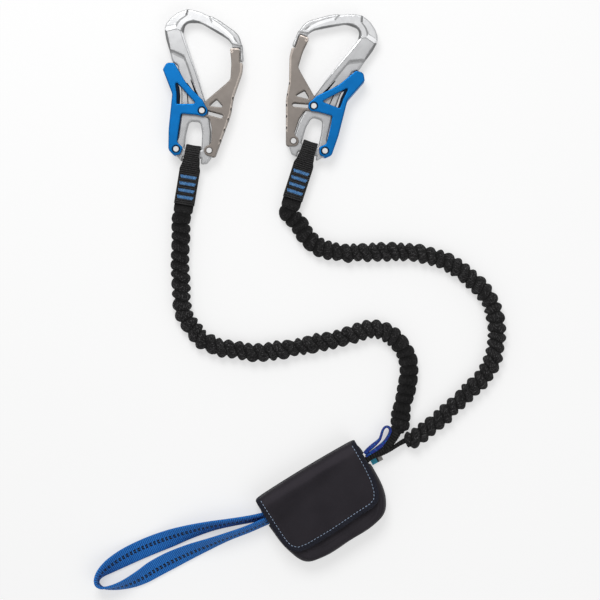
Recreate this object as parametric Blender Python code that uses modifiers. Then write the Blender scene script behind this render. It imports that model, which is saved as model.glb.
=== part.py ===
# Via ferrata lanyard: two sprung-lever carabiners on elastic arms, joined at a pouch that holds
# the folded tear webbing, with a webbing loop for the harness and a short loop for resting.
# Metres. The lanyard lies on the floor plane, +Z is up, +Y points to the carabiners.

import bpy
import bmesh
import numpy as np
from math import acos, atan2, ceil, cos, degrees, pi, radians, sin, tan
from mathutils import Matrix, Vector

# Shared clearances and working sizes
gap = 0.0003                    # free space between pieces that touch
overrun = 0.003                 # how far every cut runs past the wall it goes through
weld = 0.00002                  # points nearer than this are one point
arc_step = radians(32)
round_sides = 12
smooth_angle = radians(38)
middle = (0.0096, 0.0, 0.0)     # middle of the footprint, which becomes the origin

# Carabiner, seen from its front: the bar lies on the x axis, the hook points along +y
reach = 0.133                   # bar to the top of the hook
mid_level = 0.008               # height of the middle plane above the floor
body_half = 0.0042
body_edge = 0.0010
lug_radius = 0.0046
spine_recess = 0.0008
gate_wall = 0.0013
gate_edge = 0.0004
gate_boss_radius = 0.0049
gate_lobe_radius = 0.0048
grip_radius = 0.0013
lever_wall = 0.0015
lever_edge = 0.0004
lever_boss_radius = 0.0054
gate_gap_half = body_half + gap
gate_half = gate_gap_half + gate_wall
lever_gap_half = gate_half + gap
lever_half = lever_gap_half + lever_wall

# Pins and springs
rivet_radius = 0.0019
cam_pin_radius = 0.0017
head_radius = 0.0026
head_thick = 0.0007
head_edge = 0.0002
rivet_hole = rivet_radius + gap
cam_hole = cam_pin_radius + gap
counterbore_radius = head_radius + gap
slot_half = cam_pin_radius + gap
notch_half = 0.0024
spot_face_radius = 0.0050
spot_face_level = 0.0020
groove_half = 0.0004
groove_depth = 0.0004
spring_wire = 0.0009
spring_radius = 0.0032
spring_pitch = 0.00125
spring_turns = 2
spring_leg = 0.0018

# Motion that the gate and the lever share
gate_travel = radians(22)
lever_travel = radians(7)

# Outlines of the carabiner pieces, x, y and corner radius as shares of the reach
lever_pivot_share = (-0.114, 0.017)
gate_pivot_share = (0.116, 0.030)
cam_pin_share = (0.039, 0.301)
body_left_shares = [
    (0.270, 0.671, 0.005), (0.295, 0.673, 0.011), (0.275, 0.820, 0.068), (0.056, 0.967, 0.060),
    (-0.132, 1.004, 0.105), (-0.297, 0.983, 0.143), (-0.276, 0.812, 0.045), (-0.205, 0.629, 0.020),
    (-0.161, 0.600, 0.020), (-0.119, 0.427, 0.075), (-0.103, 0.262, 0.060), (-0.108, 0.103, 0.030),
]
body_lug_left_shares = [(-0.096, -0.040, 0.012)]
body_lug_right_shares = [(0.108, -0.062, 0.020), (0.133, -0.022, 0.030)]
lug_depth_share = 0.070
bar_half_share = 0.0286
lug_face_share = 0.067
body_inner_shares = [
    (0.118, 0.077, 0.020), (0.114, 0.162, 0.075), (0.092, 0.260, 0.030), (0.072, 0.279, 0.015),
    (0.076, 0.317, 0.045), (-0.012, 0.543, 0.301), (-0.143, 0.828, 0.060), (-0.138, 0.903, 0.068),
    (-0.033, 0.914, 0.105), (0.173, 0.816, 0.105), (0.205, 0.780, 0.023), (0.205, 0.757, 0.005),
    (0.261, 0.763, 0.005),
]
eye_shares = [
    (-0.0605, 0.0286, 0.008), (-0.0575, 0.127, 0.060), (-0.044, 0.222, 0.030), (0.034, 0.225, 0.030),
    (0.0555, 0.147, 0.045), (0.0605, 0.0286, 0.008),
]
recess_shares = [
    (-0.320, 0.800, 0.0), (-0.248, 0.758, 0.020), (-0.172, 0.678, 0.040), (-0.122, 0.665, 0.020),
    (-0.092, 0.626, 0.030), (-0.060, 0.538, 0.100), (-0.003, 0.400, 0.100), (0.029, 0.320, 0.020),
    (0.020, 0.262, 0.010), (-0.150, 0.262, 0.0), (-0.320, 0.500, 0.0),
]
groove_shares = [[(-0.1265, 1.030), (-0.1390, 0.948)], [(0.0080, 0.9920), (0.0490, 0.9200)]]
gate_shares = [
    (0.191, 0.753, 0.008), (0.259, 0.760, 0.015), (0.268, 0.661, 0.004), (0.290, 0.660, 0.011),
    (0.291, 0.595, 0.150), (0.248, 0.417, 0.135), (0.240, 0.296, 0.150), (0.161, -0.008, 0.017),
    (0.140, -0.012, 0.010),
]
gate_left_low_shares = [(0.124, 0.088, 0.023), (0.117, 0.193, 0.060), (0.095, 0.255, 0.020)]
gate_left_high_shares = [(0.184, 0.503, 0.030), (0.215, 0.539, 0.038), (0.211, 0.655, 0.226)]
gate_window_shares = [(0.130, 0.395, 0.009), (0.078, 0.339, 0.009), (0.191, 0.337, 0.009)]
gate_pocket_shares = [(0.290, 0.800, 0.0), (0.290, 0.736, 0.0), (0.257, 0.736, 0.0),
                      (0.257, 0.655, 0.0), (0.274, 0.640, 0.0),
                      (0.274, 0.595, 0.150), (0.230, 0.417, 0.135), (0.222, 0.296, 0.150),
                      (0.141, -0.020, 0.0), (0.132, -0.080, 0.0), (-0.100, -0.080, 0.0),
                      (-0.100, 0.300, 0.0), (0.100, 0.800, 0.0)]
grip_shares = [(0.2560, 0.409), (0.2500, 0.331), (0.2370, 0.257), (0.2170, 0.181), (0.1965, 0.105)]
lever_top_shares = [(-0.260, 0.560, 0.015), (-0.238, 0.610, 0.030), (-0.184, 0.614, 0.026),
                    (-0.084, 0.475, 0.301), (0.040, 0.372, 0.045)]
lever_low_shares = [
    (0.005, 0.267, 0.010), (-0.103, 0.266, 0.011), (-0.110, 0.140, 0.060), (-0.111, 0.065, 0.030),
    (-0.067, 0.033, 0.014), (-0.083, -0.020, 0.023), (-0.123, -0.029, 0.030), (-0.167, 0.006, 0.038),
    (-0.179, 0.149, 0.226), (-0.178, 0.397, 0.045),
]
lever_window_shares = [(-0.166, 0.490, 0.008), (-0.146, 0.397, 0.045), (-0.139, 0.330, 0.008),
                       (-0.006, 0.345, 0.008)]
lever_pocket_shares = [
    (-0.146, -0.060, 0.0), (-0.167, 0.150, 0.060), (-0.167, 0.398, 0.020), (-0.248, 0.569, 0.0),
    (-0.244, 0.641, 0.0), (0.100, 0.675, 0.0), (0.169, -0.029, 0.0),
]

# Where the arms leave the webbing eyes, the way the webbing runs there, and the carabiners' turns
left_arm_start = (-0.05217, 0.08805)
left_turn = radians(-5.6)
left_way = (-0.1633, -0.9866)
right_arm_start = (0.04870, 0.09336)
right_turn = radians(-14.5)
right_way = (-0.3074, -0.9516)

# Webbing eyes
webbing_thick = 0.0019
eye_radius = 0.0059
eye_stitched_thick = 0.0056
eye_hollow_end_half = 0.0004
eye_length = 0.0485
eye_taper_end = 0.0210
eye_hollow_end = 0.0185
eye_half = 0.00945
eye_lug_half = 0.0079
eye_bar_half = 0.0069
eye_bar_end = 0.0052
eye_lug_end = 0.0118
eye_step = 0.0010
tack_end = 0.0069               # bar tacks: rows of dense stitches, the last one this far from the end
tack_pitch = 0.0064
tack_rows = 4
tack_half_length = 0.0074
tack_half_width = 0.0010
tack_raise = 0.0004

# Elastic arms: gathered cover, bore and core
arm_crest = 0.0084
arm_valley = 0.0062
arm_flatness_share = 0.8
arm_low_level = 0.0069
arm_cord = 0.0170
arm_bore = 0.0040
core_radius = 0.0030
arm_tail = 0.0120
arm_tail_radius = 0.0034
bore_stop = 0.0150
core_stop = 0.0010
left_ribs = 49
right_ribs = 45
bore_points = 40
left_route = [
    (-0.0550, 0.0614), (-0.0556, 0.0344), (-0.0553, 0.0093), (-0.0530, -0.0102), (-0.0493, -0.0186),
    (-0.0437, -0.0279), (-0.0353, -0.0367), (-0.0223, -0.0428), (-0.0074, -0.0458), (0.0093, -0.0481),
    (0.0232, -0.0484), (0.0391, -0.0465), (0.0558, -0.0435), (0.0744, -0.0398), (0.0911, -0.0363),
    (0.1079, -0.0313), (0.1235, -0.0277), (0.1339, -0.0293), (0.1445, -0.0356), (0.1530, -0.0470),
    (0.1570, -0.0595), (0.1568, -0.0719), (0.1543, -0.0856), (0.1512, -0.1004), (0.1493, -0.1107),
    (0.1481, -0.1167),
]
left_arm_end = (0.1464, -0.1233)
right_route = [
    (0.0545, 0.0705), (0.0614, 0.0595), (0.0698, 0.0516), (0.0800, 0.0465), (0.0967, 0.0439),
    (0.1116, 0.0442), (0.1302, 0.0448), (0.1488, 0.0448), (0.1665, 0.0435), (0.1832, 0.0391),
    (0.1972, 0.0326), (0.2102, 0.0235), (0.2213, 0.0140), (0.2297, 0.0042), (0.2353, -0.0074),
    (0.2381, -0.0195), (0.2390, -0.0307), (0.2384, -0.0418), (0.2358, -0.0530), (0.2306, -0.0642),
    (0.2237, -0.0744), (0.2148, -0.0837), (0.2046, -0.0935), (0.1944, -0.1032), (0.1835, -0.1130),
    (0.1721, -0.1223), (0.1623, -0.1287),
]
right_arm_end = (0.1539, -0.1321)
right_straight_share = 0.7

# Straps, neck, tag and rest loop
strap_half = 0.0026
strap_half_height = 0.0050
left_strap_route = [(0.14615, -0.1238), (0.1434, -0.1291), (0.1401, -0.1334)]
right_strap_route = [(0.1534, -0.1323), (0.1490, -0.1335), (0.1462, -0.1351), (0.1434, -0.1382)]
neck_route = [(0.1412, -0.1365), (0.1372, -0.1401), (0.1321, -0.1438), (0.1256, -0.1469),
              (0.1190, -0.1501), (0.1156, -0.1521)]
neck_halves = [0.0056, 0.0046, 0.0034, 0.0032, 0.0032, 0.0032]
neck_half_height = 0.0054
tag_size = (0.0110, 0.0052, 0.0016)
tag_place = (0.1274, -0.1492)
tag_turn = radians(28)
tag_corner = 0.0008
rest_half_height = 0.0040
rest_level = 0.0080
rest_edge = 0.0005
rest_outline = [
    (0.1122, -0.1456), (0.1148, -0.1423), (0.1179, -0.1391), (0.1216, -0.1366), (0.1259, -0.1329),
    (0.1285, -0.1311), (0.1296, -0.1275), (0.1308, -0.1222), (0.1335, -0.1181), (0.1363, -0.1169),
    (0.1388, -0.1176), (0.1404, -0.1200), (0.1404, -0.1228), (0.1388, -0.1265), (0.1353, -0.1316),
    (0.1316, -0.1362), (0.1275, -0.1397), (0.1238, -0.1423), (0.1190, -0.1449), (0.1156, -0.1481),
]
rest_hole = [
    (0.1339, -0.1212), (0.1355, -0.1198), (0.1370, -0.1212), (0.1370, -0.1233), (0.1352, -0.1275),
    (0.1321, -0.1313), (0.1327, -0.1275), (0.1334, -0.1233),
]

# Pouch: u along its length, v across it, w up, from the middle of its top edge
pouch_place = (0.0618, -0.1581)
pouch_turn = radians(31.1)
pouch_wall = 0.0018
pouch_height = 0.0204
pouch_corner = 0.0060
pouch_centre = (-0.0015, -0.0390)
pouch_outline = [
    (-0.0548, -0.0011), (-0.0564, -0.0224), (-0.0551, -0.0386), (-0.0531, -0.0536), (-0.0497, -0.0640),
    (-0.0446, -0.0718), (-0.0383, -0.0750), (-0.0256, -0.0771), (-0.0043, -0.0765), (0.0234, -0.0761),
    (0.0374, -0.0735), (0.0441, -0.0693), (0.0503, -0.0591), (0.0535, -0.0445), (0.0536, -0.0263),
    (0.0531, -0.0109), (0.0520, -0.0011),
]
pouch_ring_shares = [(0.90, 0.0), (0.97, 0.07), (1.0, 0.25), (1.0, 0.68), (0.975, 0.88), (0.92, 0.98),
                     (0.86, 1.0)]
cavity_ring_shares = [(0.98, 0.0), (1.0, 0.12), (1.0, 0.75), (0.98, 0.95), (0.95, 1.0)]
mouth_half = 0.0430
mouth_low = 0.0095
mouth_high = 0.0165
left_exit = (-0.0278, -0.0112)
left_exit_levels = (0.0007, 0.0190)
right_exit = (-0.0272, -0.0108)
right_exit_levels = (0.0022, 0.0172)
exit_depth = 0.0060

# Flap and touch fastener
flap_wall = 0.0018
flap_hinge_level = 0.0065
flap_bend = 0.0060
flap_travel_degrees = 110
flap_outline = [
    (-0.0546, 0.0050), (-0.0538, -0.0088), (-0.0529, -0.0190), (-0.0522, -0.0361), (-0.0515, -0.0463),
    (-0.0485, -0.0529), (-0.0393, -0.0584), (-0.0330, -0.0592), (-0.0084, -0.0596), (0.0206, -0.0580),
    (0.0327, -0.0583), (0.0399, -0.0556), (0.0441, -0.0486), (0.0477, -0.0382), (0.0487, -0.0249),
    (0.0491, -0.0127), (0.0492, 0.0050),
]
strip_half_length = 0.0300
strip_half_width = 0.0090
strip_thick = 0.0006
strip_place = -0.0450
strip_corner = 0.0020
seam_inset = 0.0043
seam_width = 0.0006
seam_depth = 0.0003

# Folded tear webbing
tear_thick = 0.0024
tear_half_height = 0.0078
tear_pitch = 0.0034
tear_runs = 11
tear_left = -0.0440
tear_right = 0.0420
tear_top = -0.0186
tear_start = -0.0522
tear_clearance = 0.0006          # from the riser of the tear webbing to the neck's end
tear_riser_top = -0.0203

# Tie-in loop: centre line, roll of the band and its height, out along the upper strand and back
tie_width = 0.0180
tie_thick = 0.0024
tie_pouch_lift = 0.0008
tie_points = 46
tie_route = [
    (0.0255, -0.2004), (0.0100, -0.2039), (-0.0093, -0.2072), (-0.0279, -0.2108), (-0.0493, -0.2167),
    (-0.0670, -0.2230), (-0.0837, -0.2294), (-0.0995, -0.2363), (-0.1116, -0.2424), (-0.1220, -0.2486),
    (-0.1290, -0.2543), (-0.1324, -0.2598), (-0.1322, -0.2645), (-0.1280, -0.2674), (-0.1190, -0.2672),
    (-0.1100, -0.2652), (-0.1000, -0.2616), (-0.0905, -0.2570), (-0.0809, -0.2513), (-0.0670, -0.2438),
    (-0.0474, -0.2344), (-0.0279, -0.2263), (-0.0112, -0.2197), (0.0075, -0.2128), (0.0255, -0.2048),
]
tie_roll_degrees = [25, 25, 27, 35, 52, 72, 80, 76, 64, 46, 26, 10, 0, -8, -18, -29, -44, -58, -70, -72,
                    -56, -38, -28, -25, -25]


for existing in list(bpy.data.objects):
    bpy.data.objects.remove(existing, do_unlink=True)

lanyard = bpy.data.collections.new("via_ferrata_lanyard")
bpy.context.scene.collection.children.link(lanyard)
materials = {}


def material(name, colour, roughness, metallic=0.0):
    made = bpy.data.materials.new(name)
    made.use_nodes = True
    shader = made.node_tree.nodes["Principled BSDF"]
    shader.inputs["Base Color"].default_value = (*colour, 1.0)
    shader.inputs["Roughness"].default_value = roughness
    shader.inputs["Metallic"].default_value = metallic
    made.diffuse_color = (*colour, 1.0)
    materials[name] = made


material("satin_aluminium", (0.62, 0.62, 0.61), 0.38, 1.0)
material("gate_metal", (0.30, 0.27, 0.25), 0.40, 0.8)
material("lever_blue", (0.0, 0.20, 0.62), 0.34, 0.5)
material("pin_steel", (0.55, 0.55, 0.55), 0.25, 1.0)
material("spring_steel", (0.45, 0.45, 0.46), 0.30, 1.0)
material("black_webbing", (0.017, 0.016, 0.017), 0.85)
material("gathered_cover", (0.015, 0.014, 0.015), 0.88)
material("rubber_core", (0.55, 0.50, 0.40), 0.60)
material("pouch_fabric", (0.024, 0.021, 0.025), 0.80)
material("touch_tape", (0.020, 0.020, 0.022), 0.95)
material("tear_fabric", (0.62, 0.60, 0.55), 0.85)
material("blue_webbing", (0.012, 0.10, 0.50), 0.80)
material("royal_webbing", (0.012, 0.045, 0.42), 0.80)
material("tag_label", (0.05, 0.45, 0.62), 0.55)


def put(name, mesh, slot, place=(0, 0, 0), turn=(0, 0, 0), parent=None):
    item = bpy.data.objects.new(name, mesh)
    lanyard.objects.link(item)
    if not mesh.materials:
        mesh.materials.append(materials[slot])
    item.location = place if parent else Vector(place) - Vector(middle)
    item.rotation_euler = turn
    item.parent = parent
    return item


def sized(shares):
    return [tuple(share * reach for share in corner) for corner in shares]


def thinned(points):
    kept = []
    for point in points:
        if not kept or (Vector(point) - Vector(kept[-1])).length > weld * 2:
            kept.append(point)
    if (Vector(kept[0]) - Vector(kept[-1])).length <= weld * 2:
        kept.pop()
    return kept


def rounded(corners):
    # each corner with a radius becomes a short chain of points on the arc that fits into it
    points = []
    count = len(corners)
    for place in range(count):
        here = Vector(corners[place][:2])
        radius = corners[place][2]
        back = Vector(corners[place - 1][:2]) - here
        ahead = Vector(corners[(place + 1) % count][:2]) - here
        inside = back.angle(ahead)
        if radius <= 0 or inside > pi * 0.985:
            points.append(tuple(here))
            continue
        run = radius / tan(inside / 2)
        limit = min(back.length, ahead.length) * 0.49
        if run > limit:
            radius = radius * limit / run
            run = limit
        back.normalize()
        ahead.normalize()
        centre = here + (back + ahead).normalized() * (radius / sin(inside / 2))
        first = here + back * run - centre
        last = here + ahead * run - centre
        start = atan2(first.y, first.x)
        sweep = (atan2(last.y, last.x) - start + pi) % (2 * pi) - pi
        steps = max(1, ceil(abs(sweep) / arc_step))
        for step in range(steps + 1):
            angle = start + sweep * step / steps
            points.append((centre.x + radius * cos(angle), centre.y + radius * sin(angle)))
    return thinned(points)


def arc(centre, radius, start, stop, steps):
    angles = [radians(start + (stop - start) * step / steps) for step in range(steps + 1)]
    return [(centre[0] + radius * cos(angle), centre[1] + radius * sin(angle), 0) for angle in angles]


def circle(centre, radius, sides=round_sides):
    return [point[:2] for point in arc(centre, radius, 0, 360, sides)[:-1]]


def band(route, halves):
    # outline of a strip that runs along a route, halves is its half width at each point
    route = [Vector(point) for point in route]
    left = []
    right = []
    for place, here in enumerate(route):
        before = route[max(place - 1, 0)]
        after = route[min(place + 1, len(route) - 1)]
        inward = (here - before).normalized() if place else (after - here).normalized()
        outward = (after - here).normalized() if place < len(route) - 1 else inward
        along = (inward + outward).normalized()
        side = Vector((-along.y, along.x)) * (halves[place] / max(along.dot(inward), 0.5))
        left.append(tuple(here + side))
        right.append(tuple(here - side))
    return left + right[::-1]


def inset(outline, depth):
    # the same closed outline, moved inward; the outline runs anticlockwise
    points = [Vector(point) for point in outline]
    moved = []
    for place, here in enumerate(points):
        inward = (here - points[place - 1]).normalized()
        outward = (points[(place + 1) % len(points)] - here).normalized()
        along = (inward + outward).normalized()
        side = Vector((-along.y, along.x)) * (depth / max(along.dot(inward), 0.5))
        moved.append(tuple(here + side))
    return moved


def cleaned(mesh, outward=True):
    work = bmesh.new()
    work.from_mesh(mesh)
    bmesh.ops.remove_doubles(work, verts=work.verts, dist=weld)
    bmesh.ops.dissolve_degenerate(work, dist=weld / 2, edges=work.edges)
    if outward:
        bmesh.ops.recalc_face_normals(work, faces=work.faces)
    work.to_mesh(mesh)
    work.free()
    return mesh


def curve_mesh(name, curve):
    holder = bpy.data.objects.new(name, curve)
    lanyard.objects.link(holder)
    mesh = cleaned(bpy.data.meshes.new_from_object(holder))
    mesh.name = name
    mesh.materials.clear()
    bpy.data.objects.remove(holder, do_unlink=True)
    return mesh


def flat(name, loops, half, edge=0.0):
    # solid plate between -half and +half whose outline and holes are the given loops
    shape = bpy.data.curves.new(name, "CURVE")
    shape.dimensions = "2D"
    shape.fill_mode = "BOTH"
    shape.extrude = half - edge
    shape.bevel_depth = edge
    shape.bevel_resolution = 0
    shape.offset = -edge
    for loop in loops:
        spline = shape.splines.new("POLY")
        spline.points.add(len(loop) - 1)
        for point, where in zip(spline.points, loop):
            point.co = (where[0], where[1], 0, 1)
        spline.use_cyclic_u = True
    return curve_mesh(name, shape)


def tube(name, points, radii, flatness=1.0):
    # round tube along the points, squeezed in height about the floor plane by the flatness
    shape = bpy.data.curves.new(name, "CURVE")
    shape.dimensions = "3D"
    shape.twist_mode = "Z_UP"
    shape.bevel_depth = max(radii)
    shape.bevel_resolution = 2
    shape.use_fill_caps = True
    spline = shape.splines.new("POLY")
    spline.points.add(len(points) - 1)
    for point, where, radius in zip(spline.points, points, radii):
        point.co = (where[0], where[1], where[2] / flatness, 1)
        point.radius = radius / shape.bevel_depth
    mesh = curve_mesh(name, shape)
    mesh.transform(Matrix.Scale(flatness, 4, (0, 0, 1)))
    return mesh


def turned(name, profile):
    # turned about z; the profile runs from the top of the axis to its bottom
    edges = [(place, place + 1) for place in range(len(profile) - 1)]
    line = bpy.data.meshes.new(name + "_line")
    line.from_pydata([(radius, 0, level) for radius, level in profile], edges, [])
    holder = bpy.data.objects.new(name, line)
    lanyard.objects.link(holder)
    screw = holder.modifiers.new("turn", "SCREW")
    screw.steps = round_sides
    screw.render_steps = round_sides
    screw.use_merge_vertices = True
    screw.merge_threshold = weld
    return applied(holder)


def applied(holder, outward=True):
    bpy.context.view_layer.update()
    shaped = holder.evaluated_get(bpy.context.evaluated_depsgraph_get())
    mesh = cleaned(bpy.data.meshes.new_from_object(shaped), outward)
    mesh.name = holder.name
    bpy.data.objects.remove(holder, do_unlink=True)
    return mesh


def combined(mesh, tools, operation="DIFFERENCE"):
    # the mesh after each tool mesh has been cut from it, or kept in common with it
    for tool in tools:
        holder = bpy.data.objects.new(mesh.name, mesh)
        cutter = bpy.data.objects.new("cutter", tool)
        lanyard.objects.link(holder)
        lanyard.objects.link(cutter)
        change = holder.modifiers.new("cut", "BOOLEAN")
        change.operation = operation
        change.object = cutter
        change.solver = "EXACT"
        mesh = applied(holder, outward=False)
        bpy.data.objects.remove(cutter, do_unlink=True)
    return mesh


def softened(mesh):
    mesh.shade_smooth()
    mesh.set_sharp_from_angle(angle=smooth_angle)
    return mesh


def moved(mesh, shift):
    mesh.transform(Matrix.Translation(shift))
    return mesh


def smooth(points, count):
    # curve through points chosen by hand, given back as points at even steps along it
    spots = np.array(points, dtype=float)
    spots = np.vstack([2 * spots[0] - spots[1], spots, 2 * spots[-1] - spots[-2]])
    chain = []
    for place in range(1, len(spots) - 2):
        four = spots[place - 1:place + 3]
        knots = np.concatenate([[0], np.cumsum(np.linalg.norm(np.diff(four, axis=0)[:, :3], axis=1) ** 0.5)])
        times = np.linspace(knots[1], knots[2], 16, endpoint=False)[:, None]
        first = [((knots[k + 1] - times) * four[k] + (times - knots[k]) * four[k + 1])
                 / (knots[k + 1] - knots[k]) for k in range(3)]
        second = [((knots[k + 2] - times) * first[k] + (times - knots[k]) * first[k + 1])
                  / (knots[k + 2] - knots[k]) for k in range(2)]
        chain.append(((knots[2] - times) * second[0] + (times - knots[1]) * second[1])
                     / (knots[2] - knots[1]))
    chain = np.vstack(chain + [spots[-2:-1]])
    travelled = np.concatenate([[0], np.cumsum(np.linalg.norm(np.diff(chain, axis=0)[:, :3], axis=1))])
    wanted = np.linspace(0, travelled[-1], count)
    even = np.column_stack([np.interp(wanted, travelled, chain[:, axis]) for axis in range(chain.shape[1])])
    return even, travelled[-1]


def lofted(name, outline, centre, rings):
    # closed body through copies of one outline, each with its size about the centre and its height
    work = bmesh.new()
    loops = []
    for size, level in rings:
        loop = [work.verts.new((centre[0] + (x - centre[0]) * size, centre[1] + (y - centre[1]) * size, level))
                for x, y in outline]
        loops.append(loop)
    for lower, upper in zip(loops, loops[1:]):
        for place in range(len(outline)):
            after = (place + 1) % len(outline)
            work.faces.new((lower[place], lower[after], upper[after], upper[place]))
    work.faces.new(loops[0][::-1])
    work.faces.new(loops[-1])
    mesh = bpy.data.meshes.new(name)
    work.to_mesh(mesh)
    work.free()
    return cleaned(mesh)


def box(name, low, high):
    corners = [(low[0], low[1]), (high[0], low[1]), (high[0], high[1]), (low[0], high[1])]
    plate = flat(name, [corners], (high[2] - low[2]) / 2)
    return moved(plate, (0, 0, (high[2] + low[2]) / 2))


# Carabiner pieces, made once in the carabiner's own frame
lever_pivot = Vector([share * reach for share in lever_pivot_share])
gate_pivot = Vector([share * reach for share in gate_pivot_share])
cam_place = Vector([share * reach for share in cam_pin_share])
lug_face = lug_face_share * reach
bar_half = bar_half_share * reach
lug_depth = lug_depth_share * reach
corner = body_edge


def pin_place(lever_angle):
    return lever_pivot + Matrix.Rotation(-lever_angle, 2) @ (cam_place - lever_pivot)


def pin_in_gate(share):
    from_pivot = pin_place(lever_travel * share) - gate_pivot
    return gate_pivot + Matrix.Rotation(-gate_travel * share, 2) @ from_pivot


def capsule(route, half):
    # slot outline with rounded ends round a short route
    start = Vector(route[0]) - Vector(route[1])
    stop = Vector(route[-1]) - Vector(route[-2])
    side = band(route, [half] * len(route))
    count = len(route)
    first = degrees(atan2(start.y, start.x))
    last = degrees(atan2(stop.y, stop.x))
    end_cap = [point[:2] for point in arc(route[-1], half, last + 90, last - 90, 6)]
    start_cap = [point[:2] for point in arc(route[0], half, first + 90, first - 90, 6)]
    return side[1:count - 1] + end_cap + side[count + 1:-1] + start_cap


body_outline = rounded(
    sized(body_left_shares)
    + arc(lever_pivot, lug_radius, 118, 235, 5)
    + sized(body_lug_left_shares)
    + [(-lug_face, -lug_depth, corner), (-lug_face, -bar_half, corner / 2),
       (lug_face, -bar_half, corner / 2), (lug_face, -lug_depth, corner)]
    + sized(body_lug_right_shares)
    + arc(gate_pivot, lug_radius, -45, 75, 4)
    + sized(body_inner_shares)
)
body_mesh = flat("carabiner_body", [body_outline, rounded(sized(eye_shares))], body_half, body_edge)
notch_route = [tuple(pin_place(lever_travel * share)) for share in (0, 0.5, 1, 2.1)]
notch = flat("notch", [capsule(notch_route, notch_half)], body_half + overrun)
recess_outline = rounded(sized(recess_shares))
recess_lift = body_half - spine_recess + overrun
recesses = [moved(flat("recess", [recess_outline], overrun), (0, 0, side * recess_lift)) for side in (1, -1)]
bores = [flat("bore", [circle(pivot, rivet_hole)], body_half + overrun) for pivot in (lever_pivot, gate_pivot)]
spot_face = moved(flat("spot_face", [circle(lever_pivot, spot_face_radius)], overrun),
                  (0, 0, spot_face_level + overrun))
groove_lift = body_half - groove_depth + overrun
grooves = [moved(flat("groove", [band(sized(line), [groove_half] * 2)], overrun), (0, 0, side * groove_lift))
           for line in groove_shares for side in (1, -1)]
body_mesh = softened(combined(body_mesh, [spot_face, *bores, notch, *recesses, *grooves]))

gate_outline = rounded(
    sized(gate_shares)
    + arc(gate_pivot, gate_boss_radius, 250, 100, 5)
    + sized(gate_left_low_shares)
    + arc(cam_place, gate_lobe_radius, 275, 139, 5)
    + sized(gate_left_high_shares)
)
slot_route = [tuple(pin_in_gate(share)) for share in (-0.03, 0.2, 0.4, 0.6, 0.8, 1.03)]
gate_mesh = flat("gate", [gate_outline, rounded(sized(gate_window_shares)), circle(gate_pivot, rivet_hole)],
                 gate_half, gate_edge)
slot = flat("slot", [capsule(slot_route, slot_half)], gate_half + overrun)
pocket = flat("gate_pocket", [rounded(sized(gate_pocket_shares))], gate_gap_half)
grips = [flat("grip", [circle((x * reach, y * reach), grip_radius, 8)], gate_half + overrun)
         for x, y in grip_shares]
gate_mesh = softened(combined(gate_mesh, [pocket, slot, *grips]))

lever_outline = rounded(
    sized(lever_top_shares)
    + arc(cam_place, lever_boss_radius, 55, -80, 5)
    + sized(lever_low_shares)
)
lever_mesh = flat("palm_lever", [lever_outline, rounded(sized(lever_window_shares)),
                                 circle(lever_pivot, rivet_hole), circle(cam_place, cam_hole)],
                  lever_half, lever_edge)
pocket = flat("lever_pocket", [rounded(sized(lever_pocket_shares))], lever_gap_half)
sink_lift = lever_half - head_thick + overrun
sinks = [moved(flat("sink", [circle(centre, counterbore_radius)], overrun), (0, 0, side * sink_lift))
         for centre in (lever_pivot, cam_place) for side in (1, -1)]
lever_mesh = softened(combined(lever_mesh, [pocket, *sinks]))


def pin(name, shaft, underside):
    # shaft with a flat head at both ends, lying along z
    top = underside + head_thick
    upper = [(0, top), (head_radius - head_edge, top), (head_radius, top - head_edge),
             (head_radius, underside), (shaft, underside)]
    return softened(turned(name, upper + [(radius, -level) for radius, level in upper[::-1]]))


sunk_head = lever_half - head_thick + gap
gate_rivet_mesh = pin("gate_rivet", rivet_radius, gate_half + gap)
lever_rivet_mesh = pin("lever_rivet", rivet_radius, sunk_head)
cam_pin_mesh = pin("cam_pin", cam_pin_radius, sunk_head)

spring_low = spot_face_level + gap + spring_wire / 2
coil = []
for step in range(spring_turns * 10 + 1):
    angle = radians(36 * step)
    coil.append((spring_radius * cos(angle), spring_radius * sin(angle), spring_low + spring_pitch * step / 10))
coil = [(spring_radius, -spring_leg, spring_low)] + coil + [(spring_radius, spring_leg, coil[-1][2])]
spring_mesh = softened(tube("lever_spring", coil, [spring_wire / 2] * len(coil)))

for mesh, pivot in ((gate_mesh, gate_pivot), (lever_mesh, lever_pivot)):
    moved(mesh, (-pivot.x, -pivot.y, 0))


def carabiner(side, bar, turn):
    body = put("carabiner_body_" + side, body_mesh, "satin_aluminium", (*bar, mid_level), turn)
    gate = put("gate_" + side, gate_mesh, "gate_metal", (*gate_pivot, 0), parent=body)
    lever = put("palm_lever_" + side, lever_mesh, "lever_blue", (*lever_pivot, 0), parent=body)
    put("gate_rivet_" + side, gate_rivet_mesh, "pin_steel", (*gate_pivot, 0), parent=body)
    put("lever_rivet_" + side, lever_rivet_mesh, "pin_steel", (*lever_pivot, 0), parent=body)
    put("lever_spring_" + side, spring_mesh, "spring_steel", (*lever_pivot, 0), parent=body)
    put("cam_pin_" + side, cam_pin_mesh, "pin_steel", (*(cam_place - lever_pivot), 0), parent=lever)
    return body, gate, lever


def bar_place(arm_start, way):
    # the bar lies one webbing eye away from the start of its arm
    return tuple(Vector(arm_start) - Vector(way).normalized() * (eye_length + gap))


left_bar = bar_place(left_arm_start, left_way)
right_bar = bar_place(right_arm_start, right_way)
carabiner("left", left_bar, (0, 0, left_turn))
carabiner("right", right_bar, (0, pi, right_turn))

# Webbing eye: drop-shaped side profile, narrowed where it passes the bar and the lugs
def drop(radius, end, half, tail):
    away = Vector((-end, half))
    touch = degrees(atan2(away.y, away.x) - acos(radius / away.length))
    points = [point[:2] for point in arc((0, 0), radius, -touch, touch, 10)]
    return points + [(-end, half)] + tail + [(-end, -half)]


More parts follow.
